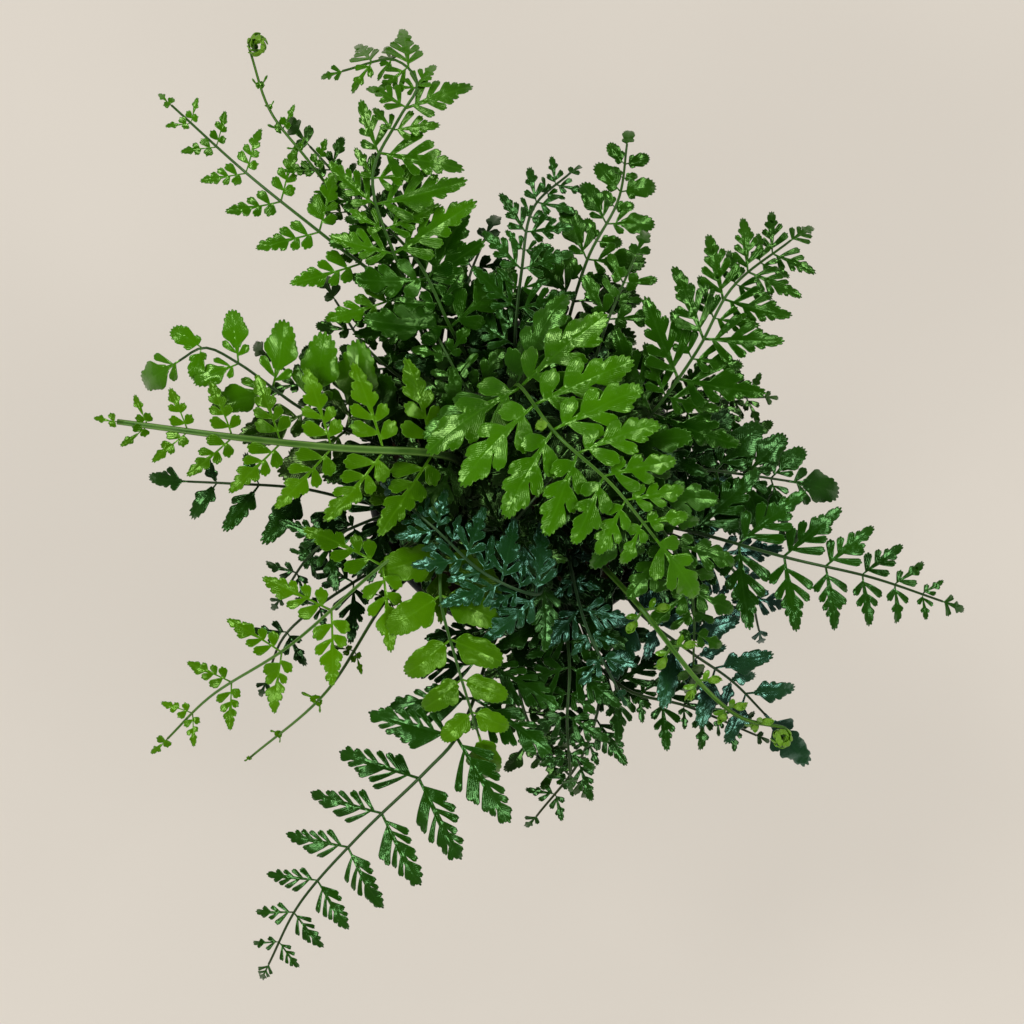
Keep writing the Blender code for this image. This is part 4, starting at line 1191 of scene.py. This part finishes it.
# %% Young leaflets, and those of a coil
def grow_young(growth, seat, chance):
    """A stalk with a bud at its end and two small leaflets beside it."""
    tip = grow_stalk(growth, seat, 0.7 * seat.length, 0.6)
    grow_bud(growth, tip, seat.heading, seat.up, 5.0, chance)
    for at, way, size in ((0.30, -1.1, 5.6), (0.50, 1.0, 3.6)):
        small = seat._replace(root=seat.root + seat.heading * (at * seat.length), length=size, lift=12.0,
                              heading=(seat.heading + seat.ahead * way).normalized())
        grow_blade(growth, small, FORMS["oval"], 0.1, chance, finish=YOUNG_FINISH)


def grow_coil(growth, places, sides, ups, chance):
    """A bud at the heart of the coil, and rolled leaflets that point out of it."""
    heading = (places[-1] - places[-2]).normalized()
    grow_bud(growth, places[-1], heading, ups[-1], 3.4, chance)
    for k in range(len(places) - COIL_POINTS + 2, len(places) - 2, 3):
        ahead = (places[k + 1] - places[k]).normalized()
        for sign in (1, -1):
            way = (sides[k] * sign - ups[k] * chance.uniform(0.1, 0.9) + ahead * 0.4).normalized()
            seat = Seat(sign, 1.0, places[k], way, across_part(ups[k] + ahead, way), ahead,
                        chance.uniform(3.2, 4.6), 0.0)
            grow_blade(growth, seat, FORMS["ball"], 0.0, chance, chance.uniform(1.6, 2.6), YOUNG_FINISH)


# %% The leaflets of a grown frond
HALFWAY_GAP = 9.0
HALFWAY_END = 0.75


def grow_between(growth, frond, stem, form, chance):
    """Smaller leaflets between the pairs, as far as the pairs stand wide apart."""
    for sign in (1, -1):
        row = [seat for seat in seats[frond.name] if seat.sign == sign]
        for first, second in zip(row, row[1:]):
            if (first.root - second.root).length > HALFWAY_GAP and first.share < HALFWAY_END:
                grow_blade(growth, halfway(first, second, stem), form, ARCHES[frond.form], chance)


def grow_leaflets(growth, frond, stem, chance):
    form = FORMS[LOOKS.get(frond.name, frond.form)]
    fuller = FULLER.get(frond.name, 1.0)
    for seat in seats[frond.name]:
        curl = 1.0 if frond.coiled and seat.share > 0.5 else 0.0
        seat = seat._replace(length=seat.length * fuller)
        grow_blade(growth, seat, form, ARCHES[frond.form], chance, curl)
    if frond.name not in OPEN:
        grow_between(growth, frond, stem, form, chance)
    lower = FORMS["cut"] if frond.form == "bead" else form
    # The leaflets below the first pair take the darker SHADED material, a painted shade of the frond's own
    # cover.
    for seat in lower_seats(frond, stem):
        grow_blade(growth, seat, lower, ARCHES["cut"], chance, finish=SHADED_FINISH)


# %% Grow every frond
HERO_BUD = Vector((7.0, 20.0, 302.0))


def grow_frond(frond):
    growth = Growth(FRESHNESS.get(frond.name, 0.0))
    chance = random.Random(frond.name)
    stem = stems[frond.name]
    places, sides, ups, halves = stem_line(frond, stem)
    wide = WIDER.get(frond.name, 1.0)
    grow_tube(growth, places, sides, ups, [half * wide for half in halves], chance.random())
    if frond.form == "ball":
        for seat in seats[frond.name]:
            grow_young(growth, seat, chance)
    else:
        grow_leaflets(growth, frond, stem, chance)
    if frond.coiled:
        grow_coil(growth, places, sides, ups, chance)
    if frond.name == "hero":
        grow_bud(growth, HERO_BUD, UP, Vector((1.0, 0.0, 0.0)), 7.0, chance)
    return growth


growths = {frond.name: grow_frond(frond) for frond in FRONDS}
canopy = Canopy(np.concatenate([points for growth in growths.values() for points in growth.points]))
print(sum(growth.count for growth in growths.values()), "points in the grown fronds")


# %% Make the pieces, with the shade of the canopy over them painted into their colour
def fern_piece(frond):
    """Its materials stand in the order of the four finishes."""
    stem_tone = STEM_TONES.get(frond.name, frond.tone)
    materials = [leaf_materials[frond.tone], stem_materials[stem_tone], leaf_materials["young"],
                 leaf_materials[SHADED[frond.tone]]]
    piece = growths[frond.name].piece("fern_" + frond.name, materials, canopy)
    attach(piece, "root")
    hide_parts("frond_" + frond.name)
    "leaf_" + frond.tone
    return piece


ferns = {frond.name: fern_piece(frond) for frond in FRONDS}
counts = {name: sum(len(face.vertices) - 2 for face in piece.data.polygons) for name, piece in ferns.items()}
print(sum(counts.values()), "triangles in the fronds, the most in one", max(counts.values()))

# %% [markdown]
# ## The pot
#
# A nursery pot is thin moulded plastic with a rolled lip and a band below it. It starts as a disc, which
# is extruded, raised and resized one ring at a time: up the outside, over the lip and down the inside.

# %% Helpers for shaping
def fresh_selection():
    if bpy.context.mode != "OBJECT":
        bpy.ops.object.mode_set(mode="OBJECT")
    bpy.ops.object.select_all(action="DESELECT")


def also_selected(piece):
    piece.select_set(True)
    bpy.context.view_layer.objects.active = piece


def copied(model):
    """A selected copy of a piece, with a mesh of its own."""
    copy = model.copy()
    copy.data = model.data.copy()
    bpy.context.collection.objects.link(copy)
    also_selected(copy)
    return copy


def finished(name, material):
    """The active object with its new name and material, at the origin, unturned and unscaled."""
    made = bpy.context.object
    bpy.ops.object.transform_apply(location=True, rotation=True, scale=True)
    made.name = made.data.name = name
    made.data.materials.clear()
    made.data.materials.append(material)
    return made


def turned(name, profile, material, sides=96):
    """A round body drawn ring by ring through (radius, height) in mm, and closed by flat caps."""
    fresh_selection()
    radius, height = profile[0]
    bpy.ops.mesh.primitive_circle_add(vertices=sides, radius=radius * MM, fill_type="NGON",
                                      location=(0.0, 0.0, height * MM))
    bpy.ops.object.transform_apply(location=True)
    bpy.ops.object.mode_set(mode="EDIT")
    bpy.ops.mesh.select_all(action="SELECT")
    for old, new in zip(profile, profile[1:]):
        rise = (0.0, 0.0, (new[1] - old[1]) * MM)
        bpy.ops.mesh.extrude_region_move(TRANSFORM_OT_translate={"value": rise})
        size = new[0] / old[0]
        bpy.ops.transform.resize(value=(size, size, 1.0), center_override=(0.0, 0.0, 0.0))
    bpy.ops.mesh.select_all(action="SELECT")
    bpy.ops.mesh.normals_make_consistent(inside=False)
    bpy.ops.object.mode_set(mode="OBJECT")
    return finished(name, material)


def modified(piece, kind, **settings):
    fresh_selection()
    also_selected(piece)
    modifier = piece.modifiers.new(kind.lower(), kind)
    for key, value in settings.items():
        setattr(modifier, key, value)
    bpy.ops.object.modifier_apply(modifier=modifier.name)


print("shaping helpers are ready")

# %% The pot's plastic
shader = Shader("charcoal plastic", Specular_IOR_Level=0.4)
place = shader.place()
cloud = shader.grain(place, 30.0)
shader.feed("Base Color", shader.mix(cloud, (0.014, 0.015, 0.016), (0.024, 0.025, 0.026)))
shader.feed("Roughness", cloud * 0.2 + 0.38)
shader.bump(shader.grain(place, 700.0), 0.2, 0.0002)
plastic = shader.material
print("the pot's plastic has", len(shader.nodes), "nodes")

# %% Shape the pot
POT_OUTSIDE = ((50.6, 0.0), (51.9, 0.4), (52.8, 1.4), (53.2, 3.0), (57.0, 25.5), (64.0, 68.0), (70.6, 108.0),
               (71.0, 110.0), (72.0, 110.9), (74.0, 111.3), (74.6, 112.2), (75.2, 123.0), (75.5, 131.8))
POT_LIP = ((75.9, 132.6), (76.0, 133.6), (75.7, 134.5), (75.0, 135.0), (73.8, 135.0), (73.1, 134.6),
           (72.8, 133.6))
POT_INSIDE = ((72.5, 125.0), (72.2, 113.0), (70.0, 111.2), (69.2, 109.0), (62.2, 68.0), (51.6, 4.2),
              (49.9, 2.5))
pot = turned("pot_body", POT_OUTSIDE + POT_LIP + POT_INSIDE, plastic)
print("pot:", len(pot.data.polygons), "faces before its drain holes")

# %% Cut the drain holes and round the edges
DRAINS = 5
DRAIN_RING = 37 * MM
for k in range(DRAINS):
    angle = math.tau * (k + 0.5) / DRAINS
    place = (*around(DRAIN_RING, angle), 0.0)
    fresh_selection()
    bpy.ops.mesh.primitive_cylinder_add(vertices=24, radius=4.5 * MM, depth=12 * MM, location=place)
    drain = bpy.context.object
    modified(pot, "BOOLEAN", operation="DIFFERENCE", object=drain, solver="EXACT")
    bpy.data.objects.remove(drain, do_unlink=True)
modified(pot, "BEVEL", width=0.35 * MM, segments=2, limit_method="ANGLE", angle_limit=math.radians(50))
fresh_selection()
also_selected(pot)
bpy.ops.object.shade_smooth_by_angle(angle=math.radians(35))
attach(pot, "root")
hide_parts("pot")
print("pot:", len(pot.data.polygons), "faces")

# %% [markdown]
# ## The soil and the crown
#
# The soil is a plug that fills the pot. Its top is drawn ring by ring and roughened, and bark crumbs and
# white perlite lie on it. The rhizome is a knobby crown in papery brown scales.

# %% Soil materials
earth = grainy("potting soil", (160.0, 6.0, 0.65), (0.008, 0.005, 0.003), (0.050, 0.030, 0.018),
               0.75, (0.9, 0.002), Specular_IOR_Level=0.2)
bark, perlite, scale_brown = (
    grainy(name, (240.0, 4.0), dark, light, 0.7, (0.6, 0.0008), Specular_IOR_Level=0.25)
    for name, dark, light in (("bark crumbs", (0.016, 0.008, 0.004), (0.110, 0.055, 0.026)),
                              ("perlite", (0.42, 0.40, 0.37), (0.80, 0.78, 0.74)),
                              ("rhizome scales", (0.030, 0.014, 0.006), (0.150, 0.070, 0.028))))
print(len(bpy.data.materials), "materials so far")


# %% Shape the soil
def soil_height(radius):
    return SOIL_TOP - 5.0 * (radius / 68.0) ** 2


SOIL_SIDE = ((50.6, 2.9), (51.4, 6.0), (61.8, 68.0), (68.7, 108.5), (68.8, 114.6))
SOIL_TOP_RINGS = tuple((radius, soil_height(radius)) for radius in (67, *range(64, 0, -4)))
ROUGH_ABOVE = 115.3 * MM
soil = turned("soil_plug", SOIL_SIDE + SOIL_TOP_RINGS, earth)
for vert in soil.data.vertices:
    if vert.co.z > ROUGH_ABOVE:
        vert.co.z += 1.5 * MM * noise.fractal(vert.co * 90.0, 0.8, 2.0, 3)
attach(soil, "root")
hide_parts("soil")
print("soil:", len(soil.data.polygons), "faces")


# %% Crumbs on the soil
def strewn(name, model, count, sizes, material, seed):
    """Copies of a chip lying on the soil, joined in one piece."""
    chance = random.Random(seed)
    fresh_selection()
    for _ in range(count):
        radius, angle = 67.0 * math.sqrt(chance.uniform(0.03, 1.0)), chance.uniform(0, math.tau)
        copy = copied(model)
        size = chance.uniform(*sizes)
        copy.scale = [size * MM * chance.uniform(0.6, 1.3) for _ in range(3)]
        copy.rotation_euler = [chance.uniform(0, math.tau) for _ in range(3)]
        height = soil_height(radius) + 0.15 * size
        copy.location = (*around(radius * MM, angle), height * MM)
    bpy.ops.object.join()
    made = finished(name, material)
    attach(made, "root")
    print(name + ":", count, "pieces")


fresh_selection()
bpy.ops.mesh.primitive_ico_sphere_add(subdivisions=1, radius=1.0)
chip = bpy.context.object
for vert in chip.data.vertices:
    vert.co *= 1.0 + 0.35 * noise.noise(vert.co * 2.3)
strewn("soil_bark", chip, 260, (1.0, 2.8), bark, "bark")
strewn("soil_perlite", chip, 70, (0.8, 1.6), perlite, "perlite")
bpy.data.objects.remove(chip, do_unlink=True)

# %% Shape the crown
CROWN_CENTRE = (0, 0, 0.1215)
fresh_selection()
bpy.ops.mesh.primitive_uv_sphere_add(segments=32, ring_count=20, radius=9.3 * MM, location=CROWN_CENTRE)
bpy.ops.transform.resize(value=(1.0, 1.0, 0.7))
crown = finished("crown_body", scale_brown)
for vert in crown.data.vertices:
    vert.co.xy *= 1.0 + 0.10 * noise.noise(vert.co * 260.0)
crown.data.polygons.foreach_set("use_smooth", [True] * len(crown.data.polygons))
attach(crown, "root")
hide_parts("rhizome")
print("crown:", len(crown.data.polygons), "faces")

# %% Scales on the crown, each turned by the golden angle from the one before
SCALE_COUNT = 90
GOLDEN_ANGLE = 2.399963
fresh_selection()
bpy.ops.mesh.primitive_cone_add(vertices=5, radius1=1.0, radius2=0.0, depth=3.2)
spike = bpy.context.object
chance = random.Random("scales")
fresh_selection()
for k in range(SCALE_COUNT):
    copy = copied(spike)
    angle = k * GOLDEN_ANGLE
    steep = math.asin(1.0 - 0.95 * (k + 0.5) / SCALE_COUNT)
    out = Vector((*around(math.cos(steep), angle), math.sin(steep)))
    copy.location = Vector(CROWN_CENTRE) + out * Vector((9.2, 9.2, 6.6)) * MM
    lean = (out + Vector((chance.uniform(-0.5, 0.5), chance.uniform(-0.5, 0.5), 0.8))).normalized()
    copy.rotation_euler = lean.to_track_quat("Z", "Y").to_euler()
    copy.scale = (0.9 * MM, 0.35 * MM, chance.uniform(0.6, 0.9) * MM)
bpy.ops.object.join()
scales = finished("crown_scales", scale_brown)
bpy.data.objects.remove(spike, do_unlink=True)
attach(scales, "root")
print("soil and crown are in the pot")

# %% [markdown]
# ## Floor, light and camera
#
# The camera looks straight down from far enough away that the fronds hardly lean outwards. Five soft suns
# stand around the plant, the strongest at the upper left, so the leaves shine from all sides, as in a
# studio, and the shadows stay thin. The floor glows a little of its own, which keeps the shadows on it
# as faint as they should be. The sky is dark overhead, where the leaves would mirror it.

# %% A pale floor
GLOW = (0.462, 0.425, 0.373, 1.0)
shader = Shader("pale floor", Specular_IOR_Level=0.1, Emission_Color=GLOW, Emission_Strength=1.0)
soft = shader.grain(shader.place(), 3.0)
shader.feed("Base Color", shader.mix(soft, (0.270, 0.252, 0.248), (0.278, 0.260, 0.256)))
shader.feed("Roughness", soft * 0.1 + 0.85)
fresh_selection()
bpy.ops.mesh.primitive_plane_add(size=6.0, location=(0.0, 0.0, 0.0))
floor = finished("floor", shader.material)
print("floor is laid")

# %% A dim sky
scene = bpy.context.scene
scene.view_settings.view_transform = "Standard"
world = bpy.data.worlds.new("studio")
world.use_nodes = True
nodes = world.node_tree.nodes
links = world.node_tree.links
where = nodes.new("ShaderNodeTexCoord")
axes = nodes.new("ShaderNodeSeparateXYZ")
band = nodes.new("ShaderNodeMapRange")
band.interpolation_type = "SMOOTHSTEP"
for key, value in {"From Min": 0.95, "From Max": 0.60, "To Min": 0.04, "To Max": 0.18}.items():
    band.inputs[key].default_value = value
links.new(where.outputs["Generated"], axes.inputs[0])
links.new(axes.outputs["Z"], band.inputs["Value"])
links.new(band.outputs[0], nodes["Background"].inputs["Strength"])
nodes["Background"].inputs["Color"].default_value = (1.0, 0.98, 0.84, 1.0)
scene.world = world
print("the sky is dim, and darkest overhead")

# %% Five suns, each with its strength and the direction that it shines from
SUN_WIDTH = math.radians(16)
LAMPS = {
    "key": (1.02, (-0.58, 0.58, 0.9)),
    "left fill": (0.80, (-0.72, -0.55, 0.9)),
    "right fill": (0.80, (0.88, 0.12, 0.9)),
    "low fill": (0.56, (0.25, -0.85, 0.9)),
    "top fill": (0.55, (0.35, 0.85, 0.9)),
}
for name, (energy, direction) in LAMPS.items():
    sun = bpy.data.lights.new(name, "SUN")
    sun.energy = energy
    sun.angle = SUN_WIDTH
    sun.color = (1.0, 0.98, 0.88)
    lamp = bpy.data.objects.new(name, sun)
    lamp.rotation_euler = Vector(direction).to_track_quat("Z", "Y").to_euler()
    scene.collection.objects.link(lamp)
print(len(LAMPS), "suns")

# %% The camera
lens = bpy.data.cameras.new("camera")
lens.sensor_width = 36.0
lens.lens = 106.24
camera = bpy.data.objects.new("camera", lens)
camera.location = (-5.4 * MM, -17.1 * MM, 1.6)
scene.collection.objects.link(camera)
scene.camera = camera
print("camera", round(camera.location.z, 2), "m up")
